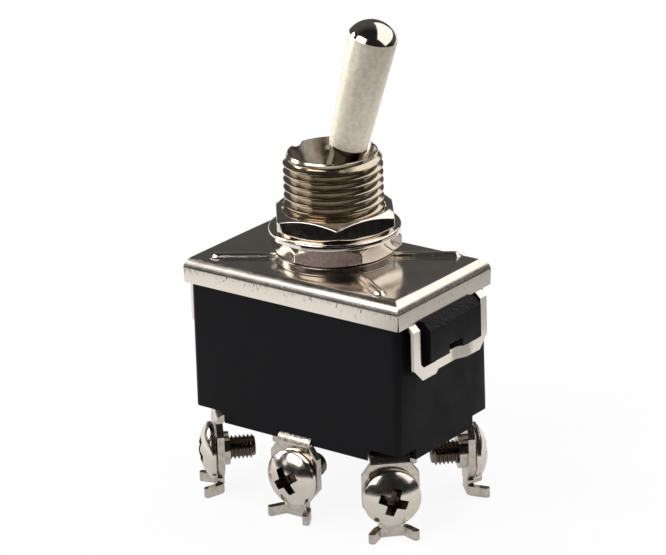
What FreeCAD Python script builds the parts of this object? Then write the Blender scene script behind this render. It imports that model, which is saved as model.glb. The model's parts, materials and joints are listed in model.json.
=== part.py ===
"""Panel toggle switch with a threaded bushing and six screw terminals.

Double pole, double throw. Every length is in millimetres. Heights are written from the top
plane of the sheet cap, +Z up along the bushing. X is the way the lever tips, and the front
is the -Y side. The finished pieces are then lowered so that the origin lies on the bushing
axis at the upper face of the top nut, where the free thread starts.
"""
import FreeCAD
import Part
import math
import os

# Sheet cap
CAP_LENGTH = 32.0
CAP_WIDTH = 19.1
CAP_DROP = 3.4
SHEET = 0.45
CAP_EDGE_RADIUS = 1.0
CORNER_SLIT = 0.3
COLLAR_RADIUS = 7.15
COLLAR_RISE = 1.0
RIB_WIDTH = 1.3
RIB_RISE = 0.55
RIB_END_X = 12.1
RIB_END_Y = 7.7
GROOVE_SHARE = 0.8

# Latch loops of the cap
LOOP_WIDTH = 15.0
LOOP_LEG = 1.3
LOOP_STANDOFF = 0.7
LOOP_JOG = 1.2
LOOP_BAR_TOP = -8.95
LOOP_BAR_HEIGHT = 1.55
LOOP_CORNER_CUT = 1.6
STAKE_WIDTH = 3.6
STAKE_SLOPE = 1.4

# Insulating liner under the cap
LINER = 0.5
LINER_SLOT_GAP = 0.4

# Moulded base
BASE_BOTTOM = -20.86
BASE_DRAFT_X = -0.05
BASE_DRAFT_Y = 0.25
BASE_CORNER_RADIUS = 0.9
BASE_FIT = 0.05
BASE_WALL = 2.1
BASE_FLOOR = 2.86
DIVIDER = 1.4
BOSS_WIDTH = 10.4
BOSS_PROUD = 0.75
BOSS_BOTTOM = -8.4
BOSS_RAMP = 0.95
BOSS_NOTCH_WIDTH = 2.7
BOSS_NOTCH_HEIGHT = 1.1
CORNER_NOTCH_X = 4.3
CORNER_NOTCH_Y = 3.4
CORNER_NOTCH_HEIGHT = 1.43

# Threaded bushing
THREAD_RADIUS = 6.0
THREAD_PITCH = 1.0
THREAD_GROOVES = 6
THREAD_ROOT_RADIUS = 5.45
THREAD_CREST_WIDTH = 0.3
THREAD_END_CREST = 0.25
BUSHING_CHAMFER = 0.6
MOUTH_RADIUS = 5.25
THROAT_RADIUS = 3.0
SHANK_RADIUS = 5.2
SHANK_FIT = 0.05
FLANGE_RADIUS = 6.3
FLANGE_HEIGHT = 0.8
KEYWAY_WIDTH = 2.0
KEYWAY_DEPTH = 0.9

# Nuts and washer
NUT_FLATS = 14.0
NUT_HEIGHT = 2.4
NUT_CHAMFER_RADIUS = 6.8
NUT_CHAMFER_ANGLE = 25.0
NUT_FIT = 0.03
UPPER_NUT_TURN = 39.0
WASHER_RADIUS = 8.0
WASHER_THICKNESS = 0.8
WASHER_GAP = 0.15

# Lever
LEVER_TILT = 16.6
PIVOT_HEIGHT = 6.5
BALL_RADIUS = 3.4
BALL_FIT = 0.05
NECK_LOW_RADIUS = 2.2
NECK_TOP_RADIUS = 2.05
SHOULDER_REACH = 7.4
SHOULDER_RISE = 0.8
HANDLE_LOW_RADIUS = 2.33
HANDLE_TOP_RADIUS = 2.92
DOME_REACH = 23.1
DOME_HEIGHT = 1.75
TAIL_RADIUS = 1.7
TAIL_REACH = 15.0

# Actuator, springs and plungers, as distances below the pivot along the lever
ACTUATOR_TOP = 9.2
ACTUATOR_BOTTOM = 17.5
ACTUATOR_THICKNESS = 5.6
ACTUATOR_SIDE_GAP = 0.35
ACTUATOR_EDGE = 0.5
PLUNGER_RADIUS = 1.2
PLUNGER_FIT = 0.08
PLUNGER_REACH = 20.5
SPRING_TOP = 11.0
SPRING_BOTTOM = 15.2
SPRING_WIRE = 0.4
SPRING_TURNS = 4

# Rockers and contacts
POLE_INSET = 2.75
ROCKER_SWING = 6.0
ROCKER_GAP = 0.15
ROCKER_THICKNESS = 0.9
ROCKER_WIDTH = 4.0
WING_FLAT = 1.4
WING_END = 1.6
RIDGE_RADIUS = 0.8
RIDGE_FIT = 0.05
FOOT_HALF = 1.7
FOOT_DEPTH = 0.3
TIP_RADIUS = 1.3
TIP_THICKNESS = 0.6
CONTACT_GAP = 0.03
CONTACT_RADIUS = 1.9
CONTACT_HEAD = 1.2
PAD_MARGIN = 0.5
RIVET_RADIUS = 1.1
RIVET_TAIL_RADIUS = 1.8
RIVET_TAIL = 0.5
RIVET_FIT = 0.02

# Terminals and their screws
PLATE = 0.86
CORNER_INSET_X = 2.1
CORNER_INSET_Y = 0.75
MIDDLE_PROUD = 0.7
LEG_WIDTH = 4.8
LEG_FIT = 0.1
LEG_TOP = -19.85
LEG_BEND = 0.4
SHOULDER_TOP = -21.0
SIDE_TOP = -22.45
SIDE_BOTTOM = -26.4
PLATE_WIDTH = 6.9
NECK_WIDTH = 3.2
NECK_Z = -28.6
FORK_TOP = -29.25
FORK_BOTTOM = -30.45
FORK_WEB = 2.2
FORK_BEND = 0.4
FORK_TURN = 60.0
FORK_ARM = 2.0
SCREW_Z = -25.25
SCREW_RADIUS = 1.5
SCREW_FIT = 0.02
TAPPED_COLLAR_RADIUS = 2.1
TAPPED_COLLAR_HEIGHT = 0.85
SCREW_TIP = 4.1
SCREW_HEAD_RADIUS = 3.5
SCREW_RIM = 0.7
SCREW_DOME = 1.2
SCREW_HEAD_GAP = 0.1
CROSS_SPAN = 3.6
CROSS_WIDTH = 1.0
CROSS_DEPTH = 1.1

# Levels worked out from the stack
NUT_SEAT = COLLAR_RISE
WASHER_SEAT = NUT_SEAT + NUT_HEIGHT
UPPER_NUT_SEAT = WASHER_SEAT + WASHER_THICKNESS
THREAD_START = UPPER_NUT_SEAT + NUT_HEIGHT
THREAD_MEET_RADIUS = THREAD_RADIUS - 0.325 * THREAD_PITCH
THREAD_END = THREAD_START + 2 * THREAD_END_CREST + THREAD_GROOVES * THREAD_PITCH - THREAD_CREST_WIDTH
BUSHING_TOP = THREAD_END + BUSHING_CHAMFER
LINER_TOP = -SHEET
BASE_TOP = LINER_TOP - LINER
FLOOR_TOP = BASE_BOTTOM + BASE_FLOOR
BASE_TOP_LENGTH = CAP_LENGTH - 2 * (SHEET + BASE_FIT)
BASE_TOP_WIDTH = CAP_WIDTH - 2 * (SHEET + BASE_FIT)
BASE_FOOT_LENGTH = BASE_TOP_LENGTH + 2 * BASE_DRAFT_X
BASE_FOOT_WIDTH = BASE_TOP_WIDTH + 2 * BASE_DRAFT_Y
CAVITY_LENGTH = BASE_TOP_LENGTH - 2 * BASE_WALL
CAVITY_WIDTH = BASE_TOP_WIDTH - 2 * BASE_WALL
POLE_Y = CAVITY_WIDTH / 2 - POLE_INSET
CORNER_FACE_X = BASE_TOP_LENGTH / 2 - CORNER_INSET_X
CORNER_FACE_Y = BASE_TOP_WIDTH / 2 - CORNER_INSET_Y
MIDDLE_FACE_Y = BASE_TOP_WIDTH / 2 + MIDDLE_PROUD
CONTACT_X = CORNER_FACE_X - (CORNER_FACE_Y - POLE_Y)
ROCKER_HALF = CONTACT_X + WING_END
TROUGH_HALF = CONTACT_X - TIP_RADIUS - WING_FLAT
LOOP_FACE = CAP_LENGTH / 2 + LOOP_STANDOFF
BOSS_FACE = LOOP_FACE + BOSS_PROUD

# The rocker's pivot and the arc of its trough, so that the plunger's round nose keeps one
# gap to it over the whole swing
ROCKER_TOP = PIVOT_HEIGHT - PLUNGER_REACH - ROCKER_GAP
ROCKER_PIVOT = ROCKER_TOP - ROCKER_THICKNESS - RIDGE_RADIUS - RIDGE_FIT
TILT = math.radians(LEVER_TILT)
SWING = math.radians(ROCKER_SWING)
NOSE = PLUNGER_REACH - PLUNGER_RADIUS
NOSE_X = NOSE * math.sin(TILT)
NOSE_DROP = ROCKER_PIVOT - (PIVOT_HEIGHT - NOSE * math.cos(TILT))
NOSE_MIDDLE = ROCKER_PIVOT - (PIVOT_HEIGHT - NOSE)
ARC_HEIGHT = (NOSE_X ** 2 + NOSE_DROP ** 2 - NOSE_MIDDLE ** 2) / (
    2 * (NOSE_MIDDLE + NOSE_X * math.sin(SWING) - NOSE_DROP * math.cos(SWING)))
TROUGH_RADIUS = ROCKER_PIVOT + ARC_HEIGHT - ROCKER_TOP
WING_TOP = ROCKER_TOP + TROUGH_RADIUS - math.sqrt(TROUGH_RADIUS ** 2 - TROUGH_HALF ** 2)
TIP_BOTTOM = WING_TOP - ROCKER_THICKNESS - TIP_THICKNESS
CONTACT_TOP = (ROCKER_PIVOT + (TIP_BOTTOM - ROCKER_PIVOT) * math.cos(SWING)
               - (CONTACT_X + TIP_RADIUS) * math.sin(SWING) - CONTACT_GAP)
PAD_TOP = CONTACT_TOP - CONTACT_HEAD
ACTUATOR_WIDTH = CAVITY_WIDTH - 2 * ACTUATOR_SIDE_GAP
DIVIDER_TOP = (PIVOT_HEIGHT - ACTUATOR_BOTTOM * math.cos(TILT)
               - ACTUATOR_THICKNESS / 2 * math.sin(TILT) - ACTUATOR_SIDE_GAP)

X = FreeCAD.Vector(1, 0, 0)
Y = FreeCAD.Vector(0, 1, 0)
Z = FreeCAD.Vector(0, 0, 1)
OVER = 1.0


def vec(x, y, z):
    return FreeCAD.Vector(x, y, z)


def block(x0, x1, y0, y1, z0, z1):
    return Part.makeBox(x1 - x0, y1 - y0, z1 - z0, vec(x0, y0, z0))


def centred_block(length, width, z0, z1):
    return block(-length / 2, length / 2, -width / 2, width / 2, z0, z1)


def disc(radius, z0, z1, x=0.0, y=0.0):
    return Part.makeCylinder(radius, z1 - z0, vec(x, y, z0))


def prism(points, direction):
    """A closed outline of points, pushed along a vector."""
    return Part.Face(Part.makePolygon(points + points[:1])).extrude(direction)


def turned(profile):
    """Points of (radius, height) turned once about Z."""
    points = [vec(r, 0, z) for r, z in profile]
    return Part.Face(Part.makePolygon(points + points[:1])).revolve(vec(0, 0, 0), Z, 360)


def at_angle(shape, degrees, axis=Z, centre=vec(0, 0, 0)):
    copy = shape.copy()
    copy.rotate(centre, axis, degrees)
    return copy


def moved(shape, x, y, z):
    copy = shape.copy()
    copy.translate(vec(x, y, z))
    return copy


def mirrored_ends(shape):
    """The shape with its twin half a turn round the bushing axis."""
    return [shape, at_angle(shape, 180)]


def rounded_outline(length, width, radius, z):
    """A rectangle with round corners, as a wire at height z."""
    a = length / 2
    b = width / 2
    arcs = []
    for sx, sy, start in ((1, 1, 0), (-1, 1, 90), (-1, -1, 180), (1, -1, 270)):
        centre = vec(sx * (a - radius), sy * (b - radius), z)
        circle = Part.Circle(centre, Z, radius)
        arcs.append(Part.Arc(circle, math.radians(start), math.radians(start + 90)))
    edges = []
    for arc, after in zip(arcs, arcs[1:] + arcs[:1]):
        edges.append(arc.toShape())
        edges.append(Part.LineSegment(arc.EndPoint, after.StartPoint).toShape())
    return Part.Wire(edges)


def edges_at(shape, test):
    """The edges whose middle passes a test."""
    return [e for e in shape.Edges if test(e.CenterOfMass)]


def lever_pose(shape):
    """From the lever's own frame, pivot at the origin, to its place in the switch."""
    tipped = at_angle(shape, LEVER_TILT, Y)
    return moved(tipped, 0, 0, PIVOT_HEIGHT)


def rocker_pose(shape):
    return at_angle(shape, -ROCKER_SWING, Y, vec(0, 0, ROCKER_PIVOT))


# Cap

def cap_shell():
    """The folded tray: top sheet and four flanges, bent over round edges."""
    outer = centred_block(CAP_LENGTH, CAP_WIDTH, -CAP_DROP, 0)
    outer = outer.makeFillet(CAP_EDGE_RADIUS, edges_at(outer, lambda c: c.z > -SHEET / 2))
    inner = centred_block(CAP_LENGTH - 2 * SHEET, CAP_WIDTH - 2 * SHEET, -CAP_DROP - OVER, -SHEET)
    inner_radius = CAP_EDGE_RADIUS - SHEET
    top_edges = edges_at(inner, lambda c: c.z > -SHEET - inner_radius / 2)
    return outer.cut(inner.makeFillet(inner_radius, top_edges))


def corner_slits():
    """Open corners, where the four flanges were folded down beside each other."""
    slits = []
    depth = 2 * CAP_EDGE_RADIUS
    for sx in (-1, 1):
        for sy in (-1, 1):
            slit = centred_block(depth * 2, CORNER_SLIT, -CAP_DROP - OVER, -CAP_EDGE_RADIUS)
            slit = at_angle(slit, 45 * sx * sy)
            slits.append(moved(slit, sx * CAP_LENGTH / 2, sy * CAP_WIDTH / 2, 0))
    return slits


def rib(radius, height, sink):
    """One straight bead from the collar towards a corner, with a round back."""
    run = math.hypot(RIB_END_X, RIB_END_Y)
    start = COLLAR_RADIUS - RIB_WIDTH
    back = Part.makeCylinder(radius, run - start, vec(start, 0, height), X)
    return back.fuse([block(start, run, -radius, radius, height - sink, height),
                      disc(radius, height - sink, height, run)])


def loop():
    """The latch loop that hangs from an end flange, at +X."""
    half = LOOP_WIDTH / 2
    inner_half = half - LOOP_LEG
    flange = CAP_LENGTH / 2
    bottom = LOOP_BAR_TOP - LOOP_BAR_HEIGHT
    jog_top = -CAP_DROP + SHEET
    jog_low = jog_top - LOOP_JOG
    side = [vec(flange - SHEET, 0, jog_top + SHEET), vec(flange, 0, jog_top + SHEET), vec(flange, 0, jog_top),
            vec(LOOP_FACE, 0, jog_low), vec(LOOP_FACE, 0, bottom), vec(LOOP_FACE - SHEET, 0, bottom),
            vec(LOOP_FACE - SHEET, 0, jog_low - SHEET / 2), vec(flange - SHEET, 0, jog_top - SHEET / 2)]
    leg = prism(side, vec(0, LOOP_LEG, 0))
    shape = moved(leg, 0, inner_half, 0).fuse(moved(leg, 0, -half, 0))
    stake = LOOP_STANDOFF - BASE_FIT
    flat = STAKE_WIDTH / 2
    slope = flat + STAKE_SLOPE
    bend = SHEET * math.tan(math.atan2(stake, STAKE_SLOPE) / 2)
    front = [(LOOP_FACE, -half), (LOOP_FACE, -slope), (LOOP_FACE - stake, -flat),
             (LOOP_FACE - stake, flat), (LOOP_FACE, slope), (LOOP_FACE, half)]
    rear = [(LOOP_FACE - SHEET, half), (LOOP_FACE - SHEET, slope + bend), (LOOP_FACE - SHEET - stake, flat + bend),
            (LOOP_FACE - SHEET - stake, -flat - bend), (LOOP_FACE - SHEET, -slope - bend), (LOOP_FACE - SHEET, -half)]
    bar = prism([vec(x, y, bottom) for x, y in front + rear], vec(0, 0, LOOP_BAR_HEIGHT))
    shape = shape.fuse(bar)
    cut = LOOP_CORNER_CUT
    for side_y in (-1, 1):
        corner = [vec(0, side_y * (half - cut), bottom - OVER), vec(0, side_y * (half + OVER), bottom - OVER),
                  vec(0, side_y * (half + OVER), bottom + cut + OVER), vec(0, side_y * half, bottom + cut),
                  vec(0, side_y * (half - cut), bottom)]
        shape = shape.cut(moved(prism(corner, vec(CAP_LENGTH, 0, 0)), CAP_LENGTH / 4, 0, 0))
        gusset = [vec(0, side_y * inner_half, LOOP_BAR_TOP), vec(0, side_y * inner_half, LOOP_BAR_TOP + cut / 3),
                  vec(0, side_y * (inner_half - cut / 3), LOOP_BAR_TOP)]
        shape = shape.fuse(moved(prism(gusset, vec(SHEET, 0, 0)), LOOP_FACE - SHEET, 0, 0))
    return shape.removeSplitter()


def cap():
    shape = cap_shell()
    shape = shape.fuse(turned([(0, -SHEET), (COLLAR_RADIUS, -SHEET), (COLLAR_RADIUS, COLLAR_RISE - SHEET / 2),
                               (COLLAR_RADIUS - SHEET / 2, COLLAR_RISE), (0, COLLAR_RISE)]))
    heading = math.degrees(math.atan2(RIB_END_Y, RIB_END_X))
    headings = (heading, 180 - heading, 180 + heading, -heading)
    bead_radius = (RIB_WIDTH ** 2 / 4 + RIB_RISE ** 2) / (2 * RIB_RISE)
    bead_height = RIB_RISE - bead_radius
    bead_end = Part.makeSphere(bead_radius, vec(math.hypot(RIB_END_X, RIB_END_Y), 0, bead_height))
    above = centred_block(CAP_LENGTH, CAP_WIDTH, -SHEET / 2, RIB_RISE + OVER)
    bead = rib(bead_radius, bead_height, SHEET / 2).fuse(bead_end).common(above)
    groove = rib(bead_radius - SHEET * GROOVE_SHARE, bead_height, SHEET + OVER)
    shape = shape.fuse([at_angle(bead, a) for a in headings])
    shape = shape.cut([at_angle(groove, a) for a in headings])
    shape = shape.cut(disc(COLLAR_RADIUS - SHEET, -SHEET - OVER, COLLAR_RISE - SHEET))
    shape = shape.cut(disc(SHANK_RADIUS + SHANK_FIT, -OVER, COLLAR_RISE + OVER))
    shape = shape.cut(corner_slits())
    return shape.fuse(mirrored_ends(loop())).removeSplitter()


# Liner and base

def liner():
    length = BASE_TOP_LENGTH - 2 * CAP_EDGE_RADIUS
    width = BASE_TOP_WIDTH - 2 * CAP_EDGE_RADIUS
    sheet = Part.Face(rounded_outline(length, width, BASE_CORNER_RADIUS, BASE_TOP)).extrude(vec(0, 0, LINER))
    reach = (PIVOT_HEIGHT - BASE_TOP) * math.tan(TILT) + TAIL_RADIUS / math.cos(TILT) + LINER_SLOT_GAP
    half = TAIL_RADIUS + LINER_SLOT_GAP
    slot = block(-reach + half, reach - half, -half, half, BASE_TOP - OVER, LINER_TOP + OVER)
    ends = [disc(half, BASE_TOP - OVER, LINER_TOP + OVER, s * (reach - half)) for s in (-1, 1)]
    return sheet.cut(slot.fuse(ends))


def latch_boss():
    """The ramped catch on the end wall at +X that a loop snaps over."""
    top = -CAP_DROP - BASE_FIT
    root = BASE_FOOT_LENGTH / 2 - BASE_WALL / 2
    side = [vec(root, 0, top), vec(BOSS_FACE - BOSS_RAMP, 0, top), vec(BOSS_FACE, 0, top - BOSS_RAMP),
            vec(BOSS_FACE, 0, BOSS_BOTTOM), vec(root, 0, BOSS_BOTTOM)]
    boss = moved(prism(side, vec(0, BOSS_WIDTH, 0)), 0, -BOSS_WIDTH / 2, 0)
    half = BOSS_NOTCH_WIDTH / 2
    wall = BASE_FOOT_LENGTH / 2 + BASE_FIT
    notch = block(wall, BOSS_FACE + OVER, -half, half, BOSS_BOTTOM - OVER, BOSS_BOTTOM + BOSS_NOTCH_HEIGHT)
    return boss.cut(notch)


def leg_channel(length):
    """Room for one terminal leg under the floor, outer face of its plate at y = 0."""
    half = LEG_WIDTH / 2 + LEG_FIT
    run = block(-half, half, -OVER, length, BASE_BOTTOM - OVER, LEG_TOP)
    return run.fuse(disc(half, BASE_BOTTOM - OVER, LEG_TOP, 0, length))


def terminal_places():
    """Name, turn about Z, plate x, plate y and leg length of each terminal."""
    corner_leg = (CORNER_FACE_Y - POLE_Y) * math.sqrt(2)
    middle_leg = MIDDLE_FACE_Y - POLE_Y
    return [("front_left", -45, -CORNER_FACE_X, -CORNER_FACE_Y, corner_leg),
            ("front_middle", 0, 0, -MIDDLE_FACE_Y, middle_leg),
            ("front_right", 45, CORNER_FACE_X, -CORNER_FACE_Y, corner_leg),
            ("back_right", 135, CORNER_FACE_X, CORNER_FACE_Y, corner_leg),
            ("back_middle", 180, 0, MIDDLE_FACE_Y, middle_leg),
            ("back_left", -135, -CORNER_FACE_X, CORNER_FACE_Y, corner_leg)]


def contact_places():
    return [("front_left", -CONTACT_X, -POLE_Y), ("front_right", CONTACT_X, -POLE_Y),
            ("back_right", CONTACT_X, POLE_Y), ("back_left", -CONTACT_X, POLE_Y)]


def base():
    top = rounded_outline(BASE_TOP_LENGTH, BASE_TOP_WIDTH, BASE_CORNER_RADIUS, BASE_TOP)
    foot = rounded_outline(BASE_FOOT_LENGTH, BASE_FOOT_WIDTH, BASE_CORNER_RADIUS, BASE_BOTTOM)
    shape = Part.makeLoft([foot, top], True, True)
    rim = edges_at(shape, lambda c: c.z > BASE_TOP - 0.01)
    shape = shape.makeChamfer(CAP_EDGE_RADIUS - SHEET, rim)
    cavity = rounded_outline(CAVITY_LENGTH, CAVITY_WIDTH, BASE_CORNER_RADIUS, FLOOR_TOP)
    shape = shape.cut(Part.Face(cavity).extrude(vec(0, 0, BASE_TOP - FLOOR_TOP + OVER)))
    sunk = BASE_FLOOR / 2
    shape = shape.fuse(centred_block(CAVITY_LENGTH + BASE_WALL, DIVIDER, FLOOR_TOP - sunk, DIVIDER_TOP))
    pad = CONTACT_RADIUS + PAD_MARGIN
    pads = [block(x - pad, x + pad, y - pad, y + pad, FLOOR_TOP - sunk, PAD_TOP) for _, x, y in contact_places()]
    shape = shape.fuse(pads + mirrored_ends(latch_boss())).removeSplitter()
    for _, turn, x, y, length in terminal_places():
        shape = shape.cut(moved(at_angle(leg_channel(length), turn), x, y, 0))
    for sx in (-1, 1):
        for sy in (-1, 1):
            notch = centred_block(2 * CORNER_NOTCH_X, 2 * CORNER_NOTCH_Y, BASE_BOTTOM - OVER,
                                  BASE_BOTTOM + CORNER_NOTCH_HEIGHT)
            shape = shape.cut(moved(notch, sx * BASE_FOOT_LENGTH / 2, sy * BASE_FOOT_WIDTH / 2, 0))
    holes = [disc(RIVET_RADIUS + RIVET_FIT, BASE_BOTTOM - OVER, PAD_TOP + OVER, x, y) for _, x, y in contact_places()]
    holes += [disc(RIVET_RADIUS + RIVET_FIT, BASE_BOTTOM - OVER, FLOOR_TOP + OVER, 0, y) for y in (-POLE_Y, POLE_Y)]
    return shape.cut(holes).removeSplitter()


# Bushing, nuts and washer

def thread_outline():
    """Ring grooves that stand for the free thread, from the crest over the upper nut to the top crest."""
    groove = THREAD_PITCH - THREAD_CREST_WIDTH
    points = [(THREAD_RADIUS, THREAD_START)]
    for turn in range(THREAD_GROOVES):
        low = THREAD_START + THREAD_END_CREST + turn * THREAD_PITCH
        points += [(THREAD_RADIUS, low), (THREAD_ROOT_RADIUS, low + groove / 2), (THREAD_RADIUS, low + groove)]
    return points + [(THREAD_RADIUS, THREAD_END)]


def bushing():
    flange_top = COLLAR_RISE - SHEET
    flange_bottom = flange_top - FLANGE_HEIGHT
    seat = PIVOT_HEIGHT + math.sqrt((BALL_RADIUS + BALL_FIT) ** 2 - THROAT_RADIUS ** 2)
    bore = BALL_RADIUS + BALL_FIT
    skirt = PIVOT_HEIGHT - BALL_RADIUS
    low_reach = (PIVOT_HEIGHT - flange_bottom) * math.tan(TILT) + TAIL_RADIUS / math.cos(TILT) + LINER_SLOT_GAP
    outline = [(0, flange_bottom), (FLANGE_RADIUS, flange_bottom), (FLANGE_RADIUS, flange_top),
               (SHANK_RADIUS, flange_top), (SHANK_RADIUS, COLLAR_RISE), (THREAD_MEET_RADIUS, COLLAR_RISE),
               (THREAD_MEET_RADIUS, THREAD_START)]
    body = turned(outline + thread_outline() + [(THREAD_RADIUS - BUSHING_CHAMFER, BUSHING_TOP), (0, BUSHING_TOP)])
    hollow = turned([(0, flange_bottom), (low_reach, flange_bottom), (bore, skirt), (bore, PIVOT_HEIGHT),
                     (0, PIVOT_HEIGHT)])
    dome = Part.makeSphere(bore, vec(0, 0, PIVOT_HEIGHT)).common(disc(bore + OVER, PIVOT_HEIGHT, seat))
    mouth = turned([(0, seat), (THROAT_RADIUS, seat), (MOUTH_RADIUS, BUSHING_TOP), (0, BUSHING_TOP)])
    body = body.cut([hollow, dome, mouth])
    key = block(-THREAD_RADIUS - OVER, -THREAD_RADIUS + KEYWAY_DEPTH, -KEYWAY_WIDTH / 2, KEYWAY_WIDTH / 2,
                COLLAR_RISE, BUSHING_TOP + OVER)
    return body.cut(key)


def nut(seat, turn):
    """A hexagon nut with both faces chamfered, standing on a seat height."""
    corner = NUT_FLATS / math.sqrt(3)
    points = [vec(corner * math.cos(math.radians(a)), corner * math.sin(math.radians(a)), seat)
              for a in range(30, 390, 60)]
    shape = prism(points, vec(0, 0, NUT_HEIGHT))
    drop = (corner - NUT_CHAMFER_RADIUS + OVER) * math.tan(math.radians(NUT_CHAMFER_ANGLE))
    outer = corner + OVER
    top = seat + NUT_HEIGHT
    crown = turned([(0, seat), (NUT_CHAMFER_RADIUS, seat), (outer, seat + drop), (outer, top - drop),
                    (NUT_CHAMFER_RADIUS, top), (0, top)])
    shape = shape.common(crown).cut(disc(THREAD_MEET_RADIUS + NUT_FIT, seat - OVER, top + OVER))
    return at_angle(shape, turn)


def flat_washer():
    ring = disc(WASHER_RADIUS, WASHER_SEAT, UPPER_NUT_SEAT)
    punched = WASHER_THICKNESS / 4
    ring = ring.makeChamfer(punched, edges_at(ring, lambda c: c.z > UPPER_NUT_SEAT - punched))
    return ring.cut(disc(THREAD_RADIUS + WASHER_GAP, WASHER_SEAT - OVER, UPPER_NUT_SEAT + OVER))


# Lever and what it carries

def lever():
    """Ball, neck, tapered handle with a domed end, and the tail that drives the actuator."""
    dome_sphere = (HANDLE_TOP_RADIUS ** 2 + DOME_HEIGHT ** 2) / (2 * DOME_HEIGHT)
    apex = DOME_REACH + DOME_HEIGHT
    neck_low = math.sqrt(BALL_RADIUS ** 2 - NECK_LOW_RADIUS ** 2)
    outline = [(0, neck_low), (NECK_LOW_RADIUS, neck_low), (NECK_TOP_RADIUS, SHOULDER_REACH),
               (HANDLE_LOW_RADIUS, SHOULDER_REACH + SHOULDER_RISE), (HANDLE_TOP_RADIUS, DOME_REACH),
               (HANDLE_TOP_RADIUS, apex), (0, apex)]
    upper = turned(outline)
    cap_ball = Part.makeSphere(dome_sphere, vec(0, 0, apex - dome_sphere))
    upper = upper.common(cap_ball.fuse(disc(HANDLE_TOP_RADIUS + OVER, 0, DOME_REACH)))
    ball = Part.makeSphere(BALL_RADIUS)
    tail = disc(TAIL_RADIUS, -TAIL_REACH, 0)
    tail = tail.makeChamfer(TAIL_RADIUS / 4, edges_at(tail, lambda c: c.z < -TAIL_REACH + TAIL_RADIUS / 4))
    return lever_pose(upper.fuse([ball, tail]).removeSplitter())


def actuator():
    """The insulating block on the tail, with a bore for each spring and plunger."""
    shape = centred_block(ACTUATOR_THICKNESS, ACTUATOR_WIDTH, -ACTUATOR_BOTTOM, -ACTUATOR_TOP)
    shape = shape.makeChamfer(ACTUATOR_EDGE, shape.Edges)
    shape = shape.cut(disc(TAIL_RADIUS, -TAIL_REACH, -ACTUATOR_TOP + OVER))
    bore = PLUNGER_RADIUS + PLUNGER_FIT
    for y in (-POLE_Y, POLE_Y):
        shape = shape.cut(disc(bore, -ACTUATOR_BOTTOM - OVER, -SPRING_TOP, 0, y))
    return lever_pose(shape)


def spring(y):
    """A compression spring of square wire above one plunger."""
    radius = PLUNGER_RADIUS - SPRING_WIRE / 2
    height = SPRING_BOTTOM - SPRING_TOP - SPRING_WIRE
    helix = Part.makeHelix(height / SPRING_TURNS, height, radius)
    half = SPRING_WIRE / 2
    corners = [vec(radius - half, 0, -half), vec(radius + half, 0, -half), vec(radius + half, 0, half),
               vec(radius - half, 0, half), vec(radius - half, 0, -half)]
    coil = Part.Wire(helix.Edges).makePipeShell([Part.makePolygon(corners)], True, True)
    return lever_pose(moved(coil, 0, y, -SPRING_BOTTOM + SPRING_WIRE / 2))


def plunger(y):
    stem = disc(PLUNGER_RADIUS, -NOSE, -SPRING_BOTTOM)
    nose = Part.makeSphere(PLUNGER_RADIUS, vec(0, 0, -NOSE))
    return lever_pose(moved(stem.fuse(nose).removeSplitter(), 0, y, 0))


# Rockers and contacts

def rocker(y):
    """The see-saw contact strip: a trough for the plunger, two wings and two feet."""
    low = ROCKER_THICKNESS
    centre = ROCKER_TOP + TROUGH_RADIUS
    outer_radius = TROUGH_RADIUS + low
    outer_half = math.sqrt(outer_radius ** 2 - (centre - WING_TOP + low) ** 2)

    def arc_point(radius, x):
        return vec(x, 0, centre - math.sqrt(radius ** 2 - x ** 2))

    upper = Part.Arc(arc_point(TROUGH_RADIUS, -TROUGH_HALF), arc_point(TROUGH_RADIUS, 0),
                     arc_point(TROUGH_RADIUS, TROUGH_HALF))
    lower = Part.Arc(arc_point(outer_radius, outer_half), arc_point(outer_radius, 0),
                     arc_point(outer_radius, -outer_half))
    right = [upper.EndPoint, vec(ROCKER_HALF, 0, WING_TOP), vec(ROCKER_HALF, 0, WING_TOP - low), lower.StartPoint]
    left = [lower.EndPoint, vec(-ROCKER_HALF, 0, WING_TOP - low), vec(-ROCKER_HALF, 0, WING_TOP), upper.StartPoint]
    edges = [upper.toShape()]
    edges += [Part.LineSegment(a, b).toShape() for a, b in zip(right, right[1:])]
    edges += [lower.toShape()]
    edges += [Part.LineSegment(a, b).toShape() for a, b in zip(left, left[1:])]
    strip = Part.Face(Part.Wire(edges)).extrude(vec(0, ROCKER_WIDTH, 0))
    feet = block(-FOOT_HALF, FOOT_HALF, 0, ROCKER_WIDTH, ROCKER_PIVOT - FOOT_DEPTH, ROCKER_TOP - low / 2)
    saddle = Part.makeCylinder(RIDGE_RADIUS + RIDGE_FIT, ROCKER_WIDTH, vec(0, 0, ROCKER_PIVOT), Y)
    shape = strip.fuse(feet).cut(saddle).removeSplitter()
    return rocker_pose(moved(shape, 0, y - ROCKER_WIDTH / 2, 0))


def rocker_tips(y):
    top = WING_TOP - ROCKER_THICKNESS
    return Part.makeCompound([rocker_pose(disc(TIP_RADIUS, TIP_BOTTOM, top, x, y)) for x in (-CONTACT_X, CONTACT_X)])


def rivet_shank(top):
    """Shank through the floor and the terminal leg, with its upset tail below."""
    leg_bottom = LEG_TOP - PLATE
    shank = disc(RIVET_RADIUS, leg_bottom, top)
    return shank.fuse(disc(RIVET_TAIL_RADIUS, leg_bottom - RIVET_TAIL, leg_bottom))


def contact_rivet(x, y):
    head = disc(CONTACT_RADIUS, PAD_TOP, CONTACT_TOP)
    head = head.makeChamfer(CONTACT_HEAD / 4, edges_at(head, lambda c: c.z > CONTACT_TOP - CONTACT_HEAD / 4))
    return moved(head.fuse(rivet_shank(PAD_TOP)).removeSplitter(), x, y, 0)


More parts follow.
